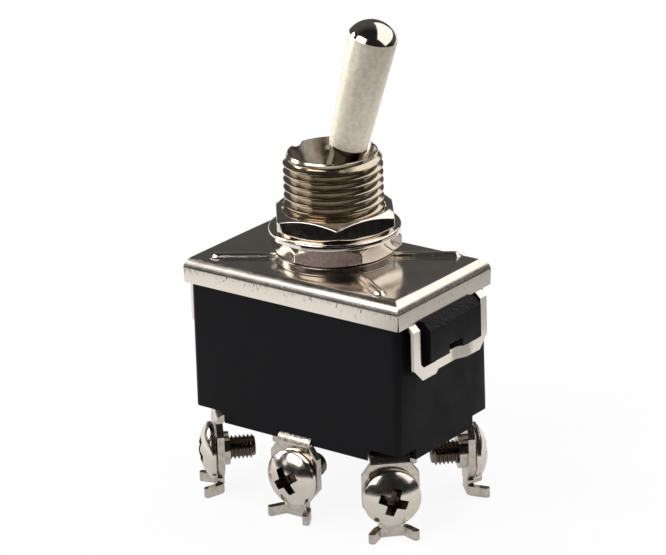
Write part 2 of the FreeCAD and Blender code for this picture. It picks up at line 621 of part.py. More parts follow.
def fulcrum(y):
    """The common contact's post, whose round ridge carries a rocker."""
    width = ROCKER_WIDTH - 2 * PAD_MARGIN
    post = block(-RIDGE_RADIUS, RIDGE_RADIUS, -width / 2, width / 2, FLOOR_TOP, ROCKER_PIVOT)
    ridge = Part.makeCylinder(RIDGE_RADIUS, width, vec(0, -width / 2, ROCKER_PIVOT), Y)
    foot = disc(CONTACT_RADIUS, FLOOR_TOP, FLOOR_TOP + PAD_MARGIN)
    shape = post.fuse([ridge, foot, rivet_shank(FLOOR_TOP)]).removeSplitter()
    return moved(shape, 0, y, 0)


# Terminals and screws, drawn with the outer face of the plate on y = 0, looking out along -Y

def terminal_plate():
    stem = LEG_WIDTH / 2
    side = PLATE_WIDTH / 2
    neck = NECK_WIDTH / 2
    web = FORK_WEB / 2
    right = [(stem, LEG_TOP - PLATE - LEG_BEND), (stem, SHOULDER_TOP), (side, SIDE_TOP), (side, SIDE_BOTTOM),
             (neck, NECK_Z), (neck, FORK_TOP), (web, FORK_TOP), (web, FORK_BOTTOM)]
    outline = right + [(-x, z) for x, z in reversed(right)]
    return prism([vec(x, 0, z) for x, z in outline], vec(0, PLATE, 0))


def terminal_leg(length):
    """Stem top, bend and the leg that runs inwards to its rivet."""
    outer = LEG_BEND + PLATE
    bend_z = LEG_TOP - outer
    half = LEG_WIDTH / 2
    bend = Part.makeCylinder(outer, LEG_WIDTH, vec(-half, outer, bend_z), X)
    bend = bend.cut(Part.makeCylinder(LEG_BEND, LEG_WIDTH, vec(-half, outer, bend_z), X))
    bend = bend.common(block(-half, half, 0, outer, bend_z, LEG_TOP))
    run = block(-half, half, outer, length, LEG_TOP - PLATE, LEG_TOP)
    shape = bend.fuse([run, disc(half, LEG_TOP - PLATE, LEG_TOP, 0, length)])
    return shape.cut(disc(RIVET_RADIUS + RIVET_FIT, LEG_TOP - PLATE - OVER, LEG_TOP + OVER, 0, length))


def fork_arm(side):
    """One arm of the wire fork, bent outwards from the foot of the plate."""
    height = FORK_TOP - FORK_BOTTOM
    centre = vec(FORK_WEB / 2, -FORK_BEND, FORK_BOTTOM)
    outer = Part.makeCylinder(FORK_BEND + PLATE, height, centre, Z, FORK_TURN)
    inner = Part.makeCylinder(FORK_BEND, height, centre, Z, 360)
    elbow = at_angle(outer.cut(inner), 90 - FORK_TURN, Z, centre)
    arm = block(FORK_BEND, FORK_BEND + PLATE, -FORK_ARM, 0, 0, height)
    tip = [e for e in arm.Edges if abs(e.CenterOfMass.y + FORK_ARM) < 1e-6 and abs(e.CenterOfMass.z - height / 2) < 1e-6]
    arm = arm.makeChamfer(PLATE / 4, tip)
    arm = moved(at_angle(arm, 90 - FORK_TURN), centre.x, centre.y, centre.z)
    shape = elbow.fuse(arm)
    return shape if side > 0 else shape.mirror(vec(0, 0, 0), X)


def terminal(turn, x, y, length):
    collar = Part.makeCylinder(TAPPED_COLLAR_RADIUS, TAPPED_COLLAR_HEIGHT, vec(0, PLATE, SCREW_Z), Y)
    shape = terminal_plate().fuse([terminal_leg(length), collar, fork_arm(1), fork_arm(-1)])
    hole = Part.makeCylinder(SCREW_RADIUS + SCREW_FIT, PLATE + TAPPED_COLLAR_HEIGHT + 2 * OVER,
                             vec(0, -OVER, SCREW_Z), Y)
    return moved(at_angle(shape.cut(hole).removeSplitter(), turn), x, y, 0)


def screw(turn, x, y, cross_turn):
    """A cross-recessed binding screw, head out along -Y."""
    height = SCREW_RIM + SCREW_DOME
    dome_sphere = (SCREW_HEAD_RADIUS ** 2 + SCREW_DOME ** 2) / (2 * SCREW_DOME)
    tip = PLATE + SCREW_TIP + SCREW_HEAD_GAP
    head = disc(SCREW_HEAD_RADIUS, 0, height)
    head = head.common(Part.makeSphere(dome_sphere, vec(0, 0, height - dome_sphere)))
    shank = disc(SCREW_RADIUS, -tip, 0)
    cross = centred_block(CROSS_SPAN, CROSS_WIDTH, height - CROSS_DEPTH, height + OVER)
    cross = cross.fuse(at_angle(cross, 90))
    shape = head.fuse(shank).cut(at_angle(cross, cross_turn)).removeSplitter()
    shape = moved(at_angle(shape, 90, X), 0, -SCREW_HEAD_GAP, SCREW_Z)
    return moved(at_angle(shape, turn), x, y, 0)


CROSS_TURNS = {"front_left": 70, "front_middle": 32, "front_right": 71, "back_right": 52,
               "back_middle": 8, "back_left": 38}


def build():
    pieces = {"base": base(), "cap": cap(), "liner": liner(), "bushing": bushing(),
              "lower_nut": nut(NUT_SEAT, 0), "flat_washer": flat_washer(),
              "upper_nut": nut(UPPER_NUT_SEAT, UPPER_NUT_TURN), "lever": lever(), "actuator": actuator()}
    for side, y in (("front", -POLE_Y), ("back", POLE_Y)):
        pieces["spring_" + side] = spring(y)
        pieces["plunger_" + side] = plunger(y)
        pieces["rocker_" + side] = rocker(y)
        pieces["rocker_tips_" + side] = rocker_tips(y)
        pieces["fulcrum_" + side] = fulcrum(y)
    for name, x, y in contact_places():
        pieces["contact_" + name] = contact_rivet(x, y)
    for name, turn, x, y, length in terminal_places():
        pieces["terminal_" + name] = terminal(turn, x, y, length)
        pieces["screw_" + name] = screw(turn, x, y, CROSS_TURNS[name])
    return pieces


def main():
    os.makedirs("parts", exist_ok=True)
    for name, shape in build().items():
        placed = moved(shape, 0, 0, -THREAD_START)
        placed.exportStep("parts/" + name + ".step")
        bounds = placed.BoundBox
        print(f"{name:24s} solids {len(placed.Solids)} valid {placed.isValid()} volume {placed.Volume:9.3f}"
              f"  x {bounds.XMin:7.2f} {bounds.XMax:7.2f}  y {bounds.YMin:7.2f} {bounds.YMax:7.2f}"
              f"  z {bounds.ZMin:7.2f} {bounds.ZMax:7.2f}")


main()
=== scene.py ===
import json
import math

import bmesh
import bpy
from mathutils import Matrix, Vector


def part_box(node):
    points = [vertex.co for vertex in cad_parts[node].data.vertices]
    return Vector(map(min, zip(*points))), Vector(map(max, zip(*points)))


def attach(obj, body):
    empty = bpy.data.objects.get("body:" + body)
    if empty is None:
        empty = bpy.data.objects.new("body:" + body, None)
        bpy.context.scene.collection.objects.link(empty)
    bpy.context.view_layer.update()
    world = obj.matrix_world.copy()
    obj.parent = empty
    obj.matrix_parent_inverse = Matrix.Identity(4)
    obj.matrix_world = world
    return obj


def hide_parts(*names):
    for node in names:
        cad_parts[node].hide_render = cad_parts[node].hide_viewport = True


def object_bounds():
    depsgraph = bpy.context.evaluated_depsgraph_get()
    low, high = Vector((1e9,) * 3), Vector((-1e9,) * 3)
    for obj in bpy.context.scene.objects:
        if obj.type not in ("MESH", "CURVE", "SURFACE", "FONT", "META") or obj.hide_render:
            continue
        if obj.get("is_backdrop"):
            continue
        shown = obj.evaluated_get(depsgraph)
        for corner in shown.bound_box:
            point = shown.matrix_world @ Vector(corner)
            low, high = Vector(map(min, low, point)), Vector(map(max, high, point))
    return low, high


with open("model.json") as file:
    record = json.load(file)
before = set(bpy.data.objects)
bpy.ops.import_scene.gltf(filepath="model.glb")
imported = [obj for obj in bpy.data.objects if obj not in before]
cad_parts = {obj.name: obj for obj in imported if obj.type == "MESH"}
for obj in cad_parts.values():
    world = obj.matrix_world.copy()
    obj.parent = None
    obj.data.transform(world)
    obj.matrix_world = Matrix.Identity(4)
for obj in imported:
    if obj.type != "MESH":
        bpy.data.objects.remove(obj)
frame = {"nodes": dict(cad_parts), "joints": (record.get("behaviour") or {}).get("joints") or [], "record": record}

bl_info = {
    "name": "Panel toggle switch",
    "version": (1, 0, 0),
    "blender": (4, 5, 0),
    "location": "3D View > Sidebar > Switch",
    "description": "Builds the visible pieces, finishes and studio of a panel toggle switch",
    "category": "Object",
}

MM = 0.001
X = Vector((1, 0, 0))
Y = Vector((0, 1, 0))
Z = Vector((0, 0, 1))

# Points closer than this are one point
MERGE = 0.0005 * MM

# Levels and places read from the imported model
CAP_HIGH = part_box("cap")[1]
BUSH_LOW, BUSH_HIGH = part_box("bushing")
BASE_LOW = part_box("base")[0]
PIVOT = Vector(next(j for j in frame["joints"] if j["name"] == "lever_tilt")["pos_m"])
COLLAR_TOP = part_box("lower_nut")[0].z
COLLAR_RISE = 1.0 * MM
CAP_TOP = COLLAR_TOP - COLLAR_RISE
FLANGE_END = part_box("liner")[1].x + 1.5 * MM
FLANGE_LOW = CAP_TOP - 3.4 * MM
FOLD = 1.6 * MM

# The round end of a bead stands here from the middle of the cap, in millimetres
BEAD_END = (12.1, 7.7)

# The terminals' places with the way that each one faces, and the turn of its screw's recess in degrees
OUTWARD = {"front_left": (-1, -1), "front_middle": (0, -1), "front_right": (1, -1),
           "back_right": (1, 1), "back_middle": (0, 1), "back_left": (-1, 1)}
CROSS_TURN = {"front_left": 70, "front_middle": 32, "front_right": 71, "back_right": 52,
              "back_middle": 8, "back_left": 38}


def length(name, value, text):
    """A length that a user can change, given in millimetres."""
    return bpy.props.FloatProperty(name=name, default=value * MM, description=text,
                                   unit="LENGTH", precision=5)


def linear(code):
    """A hex sRGB code as linear red, green, blue and alpha."""
    parts = [int(code[i:i + 2], 16) / 255 for i in (1, 3, 5)]
    return tuple(p / 12.92 if p <= 0.04045 else ((p + 0.055) / 1.055) ** 2.4 for p in parts) + (1.0,)


def colour(name, code, text):
    """A colour that a user can change."""
    return bpy.props.FloatVectorProperty(name=name, default=linear(code), size=4, min=0, max=1,
                                         description=text, subtype="COLOR")


class SwitchSizes(bpy.types.PropertyGroup):
    """Sizes of the visible pieces that are finer than the solids."""
    thread_pitch: length("Bushing pitch", 1.0, "Distance between two crests of the bushing thread")
    thread_depth: length("Bushing thread depth", 0.61, "Height of the bushing thread over its root")
    screw_pitch: length("Screw pitch", 0.5, "Distance between two crests of a binding screw")
    screw_depth: length("Screw thread depth", 0.29, "Height of a binding screw's thread over its root")
    sheet: length("Sheet", 0.45, "Thickness of the cap's sheet")
    bead_width: length("Bead width", 1.3, "Width of the four stamped beads on the cap")
    bead_rise: length("Bead rise", 0.55, "Height of the stamped beads over the cap")
    edge_break: length("Edge break", 0.07, "Rounding of stamped and cut metal edges")
    mould_break: length("Mould edge", 0.12, "Rounding of the moulded base's edges")
    recess_width: length("Recess width", 1.2, "Width of one slot of the cross recess")
    recess_span: length("Recess span", 3.95, "Length of the cross recess over both arms")


class SwitchColours(bpy.types.PropertyGroup):
    """Base colours of the finishes."""
    plate: colour("Nickel plate", "#E8DFD3", "Bright nickel plate on the cap, the nuts and the washer")
    turned: colour("Turned nickel", "#CBBDA8", "Warmer nickel plate on the turned bushing")
    satin: colour("Satin nickel", "#FAEFDC", "Satin nickel plate on the lever")
    stamped: colour("Stamped nickel", "#D6CDC1", "Nickel plate on the terminals")
    phenolic: colour("Phenolic", "#0F0F12", "Black phenolic moulding of the base")


# Mesh helpers

def spun(bm, outline, steps=96, closed=True):
    """Turns an outline of (radius, height) once about Z. Points on the axis close the ends."""
    verts = [bm.verts.new((r, 0, z)) for r, z in outline]
    ring = verts + verts[:1] if closed else verts
    edges = [bm.edges.new(pair) for pair in zip(ring, ring[1:])]
    bmesh.ops.spin(bm, geom=verts + edges, cent=(0, 0, 0), axis=Z, angle=math.tau,
                   steps=steps, use_merge=True)
    bmesh.ops.remove_doubles(bm, verts=bm.verts, dist=MERGE)
    bmesh.ops.dissolve_degenerate(bm, edges=bm.edges, dist=0.0002 * MM)


def arc(centre, radius, start, end, steps):
    """Points of (radius, height) along an arc, with angles in degrees."""
    turns = [math.radians(start + (end - start) * i / steps) for i in range(steps + 1)]
    return [(centre[0] + radius * math.cos(t), centre[1] + radius * math.sin(t)) for t in turns]


def box(bm, low, high):
    """A box between two corners."""
    low, high = Vector(low), Vector(high)
    made = bmesh.ops.create_cube(bm, size=1.0)["verts"]
    bmesh.ops.scale(bm, vec=high - low, verts=made)
    bmesh.ops.translate(bm, vec=(low + high) / 2, verts=made)
    return made


def plain_mesh(name, bm):
    """Closes a bmesh into a mesh, with its faces as they are."""
    mesh = bpy.data.meshes.new(name)
    bm.to_mesh(mesh)
    bm.free()
    return mesh


def mesh_from(name, bm):
    """Closes a bmesh into a mesh with outward faces."""
    bmesh.ops.recalc_face_normals(bm, faces=bm.faces)
    return plain_mesh(name, bm)


def join(bm, spare, place=Matrix()):
    """Adds one bmesh to another, moved to its place."""
    bmesh.ops.transform(spare, matrix=place, verts=spare.verts)
    part = plain_mesh("part", spare)
    bm.from_mesh(part)
    bpy.data.meshes.remove(part)


def linked(name, data):
    """A new object in the scene."""
    item = bpy.data.objects.new(name, data)
    bpy.context.scene.collection.objects.link(item)
    return item


def applied(item):
    """An object's mesh with its modifiers applied. The object is removed."""
    bpy.context.view_layer.update()
    shown = item.evaluated_get(bpy.context.evaluated_depsgraph_get())
    result = bpy.data.meshes.new_from_object(shown)
    bpy.data.objects.remove(item)
    return result


def boolean(mesh, other, operation):
    """The mesh cut by or kept inside another, as a new mesh."""
    body = linked("boolean_body", mesh)
    tool = linked("boolean_tool", other)
    modifier = body.modifiers.new("boolean", "BOOLEAN")
    modifier.operation = operation
    modifier.solver = "EXACT"
    modifier.object = tool
    result = applied(body)
    bpy.data.objects.remove(tool)
    return result


def thickened(mesh, thickness):
    """A sheet's mesh with its thickness added on the inside."""
    item = linked("sheet", mesh)
    solid = item.modifiers.new("sheet", "SOLIDIFY")
    solid.thickness = thickness
    solid.offset = -1
    solid.use_even_offset = True
    return applied(item)


def piece(name, mesh, body, slot, node, *finishes, edge=0.0, smooth=40, edge_angle=30):
    """Links a finished mesh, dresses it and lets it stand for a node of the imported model."""
    dressing = [face.material_index for face in mesh.polygons]
    for face in mesh.polygons:
        face.use_smooth = True
    mesh.set_sharp_from_angle(angle=math.radians(smooth))
    mesh.materials.clear()
    for finish in finishes:
        mesh.materials.append(finish)
    for face, index in zip(mesh.polygons, dressing):
        face.material_index = min(index, len(finishes) - 1)
    item = linked(name, mesh)
    if edge:
        bevel = item.modifiers.new("edges", "BEVEL")
        bevel.width = edge
        bevel.segments = 2
        bevel.limit_method = "ANGLE"
        bevel.angle_limit = math.radians(edge_angle)
        bevel.use_clamp_overlap = True
        bevel.harden_normals = True
    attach(item, body)
    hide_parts(node)
    return item


def node_copy(node):
    """A merged copy of a node's mesh, with its flat faces joined."""
    bm = bmesh.new()
    bm.from_mesh(frame["nodes"][node].data)
    bmesh.ops.remove_doubles(bm, verts=bm.verts, dist=MERGE)
    bmesh.ops.dissolve_limit(bm, angle_limit=math.radians(0.5), verts=bm.verts, edges=bm.edges)
    return mesh_from(node + "_copy", bm)


def helix(bm, root, crest, pitch, low, high, steps=72):
    """The surface of a right-hand thread between two heights, on the Z axis."""
    depth = crest - root
    brow = crest - depth * 0.08
    outline = [(root, 0), (root, pitch * 0.07), (brow, pitch * 0.40), (crest, pitch * 0.44),
               (crest, pitch * 0.56), (brow, pitch * 0.60), (root, pitch * 0.93), (root, pitch)]
    start = low - pitch
    turns = math.ceil((high - low) / pitch) + 2
    verts = [bm.verts.new((r, 0, start + z)) for r, z in outline]
    edges = [bm.edges.new(pair) for pair in zip(verts, verts[1:])]
    bmesh.ops.spin(bm, geom=verts + edges, cent=(0, 0, 0), axis=Z, angle=math.tau * turns,
                   steps=steps * turns, dvec=(0, 0, pitch / steps), use_merge=False)
    bmesh.ops.remove_doubles(bm, verts=bm.verts, dist=0.002 * MM)
    for height, outer in ((low, False), (high, True)):
        geometry = list(bm.verts) + list(bm.edges) + list(bm.faces)
        bmesh.ops.bisect_plane(bm, geom=geometry, dist=0.0002 * MM, plane_co=(0, 0, height),
                               plane_no=Z, clear_outer=outer, clear_inner=not outer)


def taper(bm, limit):
    """Draws every point in to the radius that limit gives for its height."""
    for vert in bm.verts:
        radius = math.hypot(vert.co.x, vert.co.y)
        allowed = limit(vert.co.z)
        if radius > allowed:
            vert.co.x *= allowed / radius
            vert.co.y *= allowed / radius


# Finishes

def add(tree, kind, sockets=(), **settings):
    """Adds one node with its settings. A socket takes another node's output or a plain value."""
    node = tree.nodes.new(kind)
    for key, value in settings.items():
        if hasattr(node, key):
            setattr(node, key, value)
        else:
            node.inputs[key.replace("_", " ")].default_value = value
    for socket, source in sockets:
        if isinstance(source, bpy.types.NodeSocket):
            tree.links.new(source, node.inputs[socket])
        else:
            node.inputs[socket].default_value = source
    return node


def cleared(owner):
    """The empty node tree of a material or a world."""
    owner.use_nodes = True
    owner.node_tree.nodes.clear()
    return owner.node_tree


def finish(name):
    """A new material with its tree, its shader and its object coordinates."""
    material = bpy.data.materials.new(name)
    tree = cleared(material)
    shader = add(tree, "ShaderNodeBsdfPrincipled")
    add(tree, "ShaderNodeOutputMaterial", [("Surface", shader.outputs[0])])
    place = add(tree, "ShaderNodeTexCoord").outputs["Object"]
    return material, tree, shader, place


def per_mm(size):
    """Texture scale for a feature of a size in millimetres."""
    return 1 / (size * MM)


def worn_folds(tree, place, gloss):
    """Roughness that rises in specks where the sheet leans by about 60 to 78 degrees: the fold is rubbed."""
    normal = add(tree, "ShaderNodeNewGeometry").outputs["Normal"]
    upward = add(tree, "ShaderNodeSeparateXYZ", [(0, normal)]).outputs["Z"]
    near = add(tree, "ShaderNodeMath", [(0, upward), (1, 0.36)], operation="SUBTRACT").outputs[0]
    near = add(tree, "ShaderNodeMath", [(0, near)], operation="ABSOLUTE").outputs[0]
    edge = add(tree, "ShaderNodeMapRange", [("Value", near)], From_Min=0.14, From_Max=0.20,
               To_Min=0.14, To_Max=0.0).outputs[0]
    speck = add(tree, "ShaderNodeTexNoise", [("Vector", place)], Scale=per_mm(0.14),
                Detail=2.0).outputs["Fac"]
    wear = add(tree, "ShaderNodeMath", [(0, edge), (1, speck)], operation="MULTIPLY").outputs[0]
    return add(tree, "ShaderNodeMath", [(0, wear), (1, gloss)], operation="ADD").outputs[0]


def drawn_pits(tree, place, base_colour):
    """Short upright pits in the plate where the sheet was folded down, most of them just under the fold."""
    height = add(tree, "ShaderNodeSeparateXYZ", [(0, place)]).outputs["Z"]
    band = add(tree, "ShaderNodeMapRange", [("Value", height)], From_Min=CAP_TOP - 2.8 * MM,
               From_Max=CAP_TOP - 1.8 * MM, To_Min=0.0, To_Max=0.11).outputs[0]
    under = add(tree, "ShaderNodeMath", [(0, height), (1, CAP_TOP - 1.5 * MM)],
                operation="LESS_THAN").outputs[0]
    band = add(tree, "ShaderNodeMath", [(0, band), (1, under)], operation="MULTIPLY").outputs[0]
    upright = add(tree, "ShaderNodeMapping", [("Vector", place)], Scale=(1, 1, 0.32)).outputs[0]
    pits = add(tree, "ShaderNodeTexNoise", [("Vector", upright)], Scale=per_mm(0.16),
               Detail=1.0).outputs["Fac"]
    patches = add(tree, "ShaderNodeTexNoise", [("Vector", place)], Scale=per_mm(2.2),
                  Detail=1.0).outputs["Fac"]
    level = add(tree, "ShaderNodeMath", [(0, pits), (1, band)], operation="ADD").outputs[0]
    uneven = add(tree, "ShaderNodeMath", [(0, patches), (1, 0.22)], operation="MULTIPLY").outputs[0]
    level = add(tree, "ShaderNodeMath", [(0, level), (1, uneven)], operation="ADD").outputs[0]
    deep = add(tree, "ShaderNodeMapRange", [("Value", level)], From_Min=0.83, From_Max=0.93).outputs[0]
    return add(tree, "ShaderNodeMix", [("Factor", deep), (6, base_colour), (7, linear("#9C9286"))],
               data_type="RGBA").outputs[2]


def plated(name, base, low, high, mottle=2.0, tint=0.06, pit=0.25, depth=0.002, metal=1.0, pitted=False):
    """Plated metal: cloudy in its gloss and tone at the mottle's size, with fine pits over it. Sizes are
    in millimetres, and the pits are drawn larger than real ones, so that they show."""
    material, tree, shader, place = finish(name)
    cloud = add(tree, "ShaderNodeTexNoise", [("Vector", place)], Scale=per_mm(mottle), Detail=4.0,
                Roughness=0.6).outputs["Fac"]
    grain = add(tree, "ShaderNodeTexNoise", [("Vector", place)], Scale=per_mm(pit), Detail=2.0).outputs["Fac"]
    gloss = add(tree, "ShaderNodeMapRange", [("Value", cloud)], From_Min=0.3, From_Max=0.7,
                To_Min=low, To_Max=high).outputs[0]
    spread = add(tree, "ShaderNodeMapRange", [("Value", cloud)], From_Min=0.35, From_Max=0.62).outputs[0]
    dark = tuple(c * (1 - tint) for c in base[:3]) + (1.0,)
    tone = add(tree, "ShaderNodeMix", [("Factor", spread), (6, dark), (7, base)], data_type="RGBA").outputs[2]
    bump = add(tree, "ShaderNodeBump", [("Height", grain)], Strength=1.0, Distance=depth * MM).outputs[0]
    if pitted:
        tone = drawn_pits(tree, place, tone)
        gloss = worn_folds(tree, place, gloss)
    tree.links.new(tone, shader.inputs["Base Color"])
    tree.links.new(gloss, shader.inputs["Roughness"])
    tree.links.new(bump, shader.inputs["Normal"])
    shader.inputs["Metallic"].default_value = metal
    return material


def moulded(name, base, low, high, grain_size=0.15, depth=0.004, shine=0.5):
    """A moulded plastic: matt and even, with a fine grain."""
    material, tree, shader, place = finish(name)
    cloud = add(tree, "ShaderNodeTexNoise", [("Vector", place)], Scale=per_mm(3.0), Detail=5.0).outputs["Fac"]
    grain = add(tree, "ShaderNodeTexNoise", [("Vector", place)], Scale=per_mm(grain_size),
                Detail=3.0).outputs["Fac"]
    gloss = add(tree, "ShaderNodeMapRange", [("Value", cloud)], From_Min=0.3, From_Max=0.7,
                To_Min=low, To_Max=high).outputs[0]
    dark = tuple(c * 0.8 for c in base[:3]) + (1.0,)
    tone = add(tree, "ShaderNodeMix", [("Factor", cloud), (6, dark), (7, base)], data_type="RGBA").outputs[2]
    bump = add(tree, "ShaderNodeBump", [("Height", grain)], Strength=1.0, Distance=depth * MM).outputs[0]
    tree.links.new(tone, shader.inputs["Base Color"])
    tree.links.new(gloss, shader.inputs["Roughness"])
    tree.links.new(bump, shader.inputs["Normal"])
    shader.inputs["Specular IOR Level"].default_value = shine
    return material


FINISHES = {}


class SWITCH_OT_finishes(bpy.types.Operator):
    """Makes the finishes and dresses the nodes that keep their shape"""
    bl_idname = "switch.finishes"
    bl_label = "Finishes"

    def execute(self, context):
        hues = context.scene.switch_colours
        plate = tuple(hues.plate)
        # Nickel over rolled steel: a dark mirror, blurred by fine grain
        FINISHES["cap"] = plated("nickel_plated_sheet", plate, 0.15, 0.22, mottle=2.5, pitted=True)
        # Stamping stretched the plate on the beads: smooth backs with a fine sparkle on their sides
        FINISHES["bead"] = plated("stretched_nickel_plate", plate, 0.14, 0.24, mottle=0.3, tint=0.1,
                                  pit=0.14, depth=0.006)
        # The punch drew the collar up out of the plate. Its nickel is painted darker than the plate, as painted
        # shade for the dark that it mirrors, and is grainy, with broken highlights
        FINISHES["collar"] = plated("collar_nickel_painted_dark", linear("#8E8479"), 0.15, 0.27, mottle=0.3,
                                    tint=0.2, pit=0.14, depth=0.008)
        # The tool dragged over the middle terminals' bends: torn, bright and sparkling
        FINISHES["rubbed"] = plated("dragged_nickel_plate", linear("#D8CFC2"), 0.20, 0.42, mottle=0.3,
                                    tint=0.3, pit=0.14, depth=0.02)
        # Nickel over turned brass: warm and a little dull
        FINISHES["turned"] = plated("nickel_plated_turned_brass", tuple(hues.turned), 0.12, 0.20,
                                    mottle=1.2, depth=0.0008)
        # The funnel is bored. Its nickel is painted darker, as painted shade inside the mouth, with blurred
        # streaks
        FINISHES["funnel"] = plated("bore_nickel_painted_dark", linear("#8E857A"), 0.12, 0.24, mottle=0.8,
                                    tint=0.3, depth=0.001)
        # Nickel over drawn steel: bright chamfers and dark, faintly cloudy flats
        FINISHES["nut"] = plated("nickel_plated_steel_nut", plate, 0.06, 0.12, mottle=0.9, depth=0.001)
        # One flat was scraped before plating: it stays dull and pinkish
        FINISHES["scraped"] = plated("nickel_over_scraped_steel", linear("#E0CABE"), 0.34, 0.5,
                                     mottle=0.35, tint=0.3, pit=0.15, depth=0.006)
        # Satin nickel, blasted before plating: pale and almost without reflections
        FINISHES["lever"] = plated("satin_nickel_lever", tuple(hues.satin), 0.38, 0.52, mottle=0.6,
                                   tint=0.17, metal=0.72, pit=0.2, depth=0.006)
        # Polished nickel on the lever's dome and foot: a clear mirror of the lamps
        FINISHES["dome"] = plated("polished_nickel_dome", plate, 0.07, 0.11, mottle=1.5, depth=0.0003)
        # Nickel over stamped brass: bright, with cloudy patches
        FINISHES["stamped"] = plated("nickel_plated_stamped_brass", tuple(hues.stamped), 0.10, 0.22,
                                     mottle=0.7, tint=0.24, depth=0.0012)
        # Nickel over headed steel: domes that mirror the floor softly
        FINISHES["screw"] = plated("nickel_plated_screw", plate, 0.12, 0.20, mottle=0.8, depth=0.0008)
        # Pressed recess: its dark brown is painted shade in the hollow, and its dull gloss stands for the driver's
        # rubbing
        FINISHES["recess"] = plated("recess_nickel_painted_shade", linear("#5F5347"), 0.22, 0.40, mottle=0.4,
                                    tint=0.5, depth=0.004)
        # The screws' threads are painted darker than the heads, as painted shade where they run in behind the
        # plates
        FINISHES["thread"] = plated("thread_nickel_painted_dark", linear("#857B6E"), 0.12, 0.25, mottle=0.5,
                                    tint=0.3, depth=0.001)
        # Phenolic moulding powder: matt black
        FINISHES["phenolic"] = moulded("black_phenolic", tuple(hues.phenolic), 0.42, 0.55, shine=0.10)
        # The latch ramps were torn from the mould: coarse, with glints
        FINISHES["crumbled"] = moulded("torn_black_phenolic", linear("#0B0B0C"), 0.34, 0.50,
                                       grain_size=0.30, depth=0.40, shine=0.2)
        # Vulcanised fibre: dull red-brown board
        FINISHES["fibre"] = moulded("vulcanised_fibre", linear("#8A4A32"), 0.6, 0.8)
        # Natural nylon: pale and slightly waxy
        FINISHES["nylon"] = moulded("natural_nylon", linear("#DDD8C8"), 0.35, 0.5)
        # Drawn spring wire: grey with a soft shine
        FINISHES["wire"] = plated("drawn_spring_wire", linear("#9A9A9C"), 0.25, 0.35)
        # Turned brass: yellow and softly bright
        FINISHES["brass"] = plated("turned_brass", linear("#D9BE7A"), 0.22, 0.34)
        # Rolled copper alloy: reddish with a satin shine
        FINISHES["copper"] = plated("rolled_copper_alloy", linear("#C98A62"), 0.25, 0.4)
        # Silver contacts: white metal, softly bright
        FINISHES["silver"] = plated("silver_contact", linear("#E4E2DC"), 0.2, 0.32)
        kept = {"liner": "fibre", "actuator": "nylon"}
        inner = {"spring_": "wire", "plunger_": "brass", "rocker_": "copper", "rocker_tips_": "silver",
                 "fulcrum_": "brass"}
        for side in ("front", "back"):
            for kind, key in inner.items():
                kept[kind + side] = key
        for place in OUTWARD:
            if "middle" not in place:
                kept["contact_" + place] = "silver"
        for node, key in kept.items():
            item = frame["nodes"][node]
            if not item.material_slots:
                item.data.materials.append(FINISHES[key])
            for slot in item.material_slots:
                slot.material = FINISHES[key]
        return {"FINISHED"}


class SWITCH_OT_base(bpy.types.Operator):
    """Makes the black moulded base with its latch bosses and notches"""
    bl_idname = "switch.base"
    bl_label = "Base"

    def execute(self, context):
        sizes = context.scene.switch_sizes
        mesh = node_copy("base")
        # The ramps of the latch bosses are the leaning faces high on the end walls
        for face in mesh.polygons:
            leaning = abs(face.normal.x) > 0.15 and face.normal.z > 0.15
            face.material_index = int(leaning and face.center.z > CAP_TOP - 6 * MM)
        piece("moulded_base", mesh, "housing", "phenolic", "base", FINISHES["phenolic"],
              FINISHES["crumbled"], edge=sizes.mould_break)
        return {"FINISHED"}


def tray(bm):
    """The folded tray of the cap, open below, with slits down its corners."""
    half_y = CAP_HIGH.y
    slit = 0.16 * MM
    box(bm, (-FLANGE_END, -half_y, FLANGE_LOW), (FLANGE_END, half_y, CAP_TOP))
    open_side = [f for f in bm.faces if f.normal.z < -0.5]
    bmesh.ops.delete(bm, geom=open_side, context="FACES_ONLY")
    top = [e for e in bm.edges if all(v.co.z > CAP_TOP - FOLD / 2 for v in e.verts)]
    bmesh.ops.bevel(bm, geom=top, offset=FOLD, affect="EDGES", segments=8, profile=0.5, material=-1)
    upright = [e for e in bm.edges if abs(e.verts[0].co.z - e.verts[1].co.z) > FOLD]
    bmesh.ops.split_edges(bm, edges=upright)
    for face in bm.faces:
        along = 1 if abs(face.normal.x) > 0.5 else 0
        for vert in face.verts:
            if vert.co.z <= CAP_TOP - FOLD * 1.01:
                vert.co[along] = math.copysign(abs(vert.co[along]) - slit, vert.co[along])


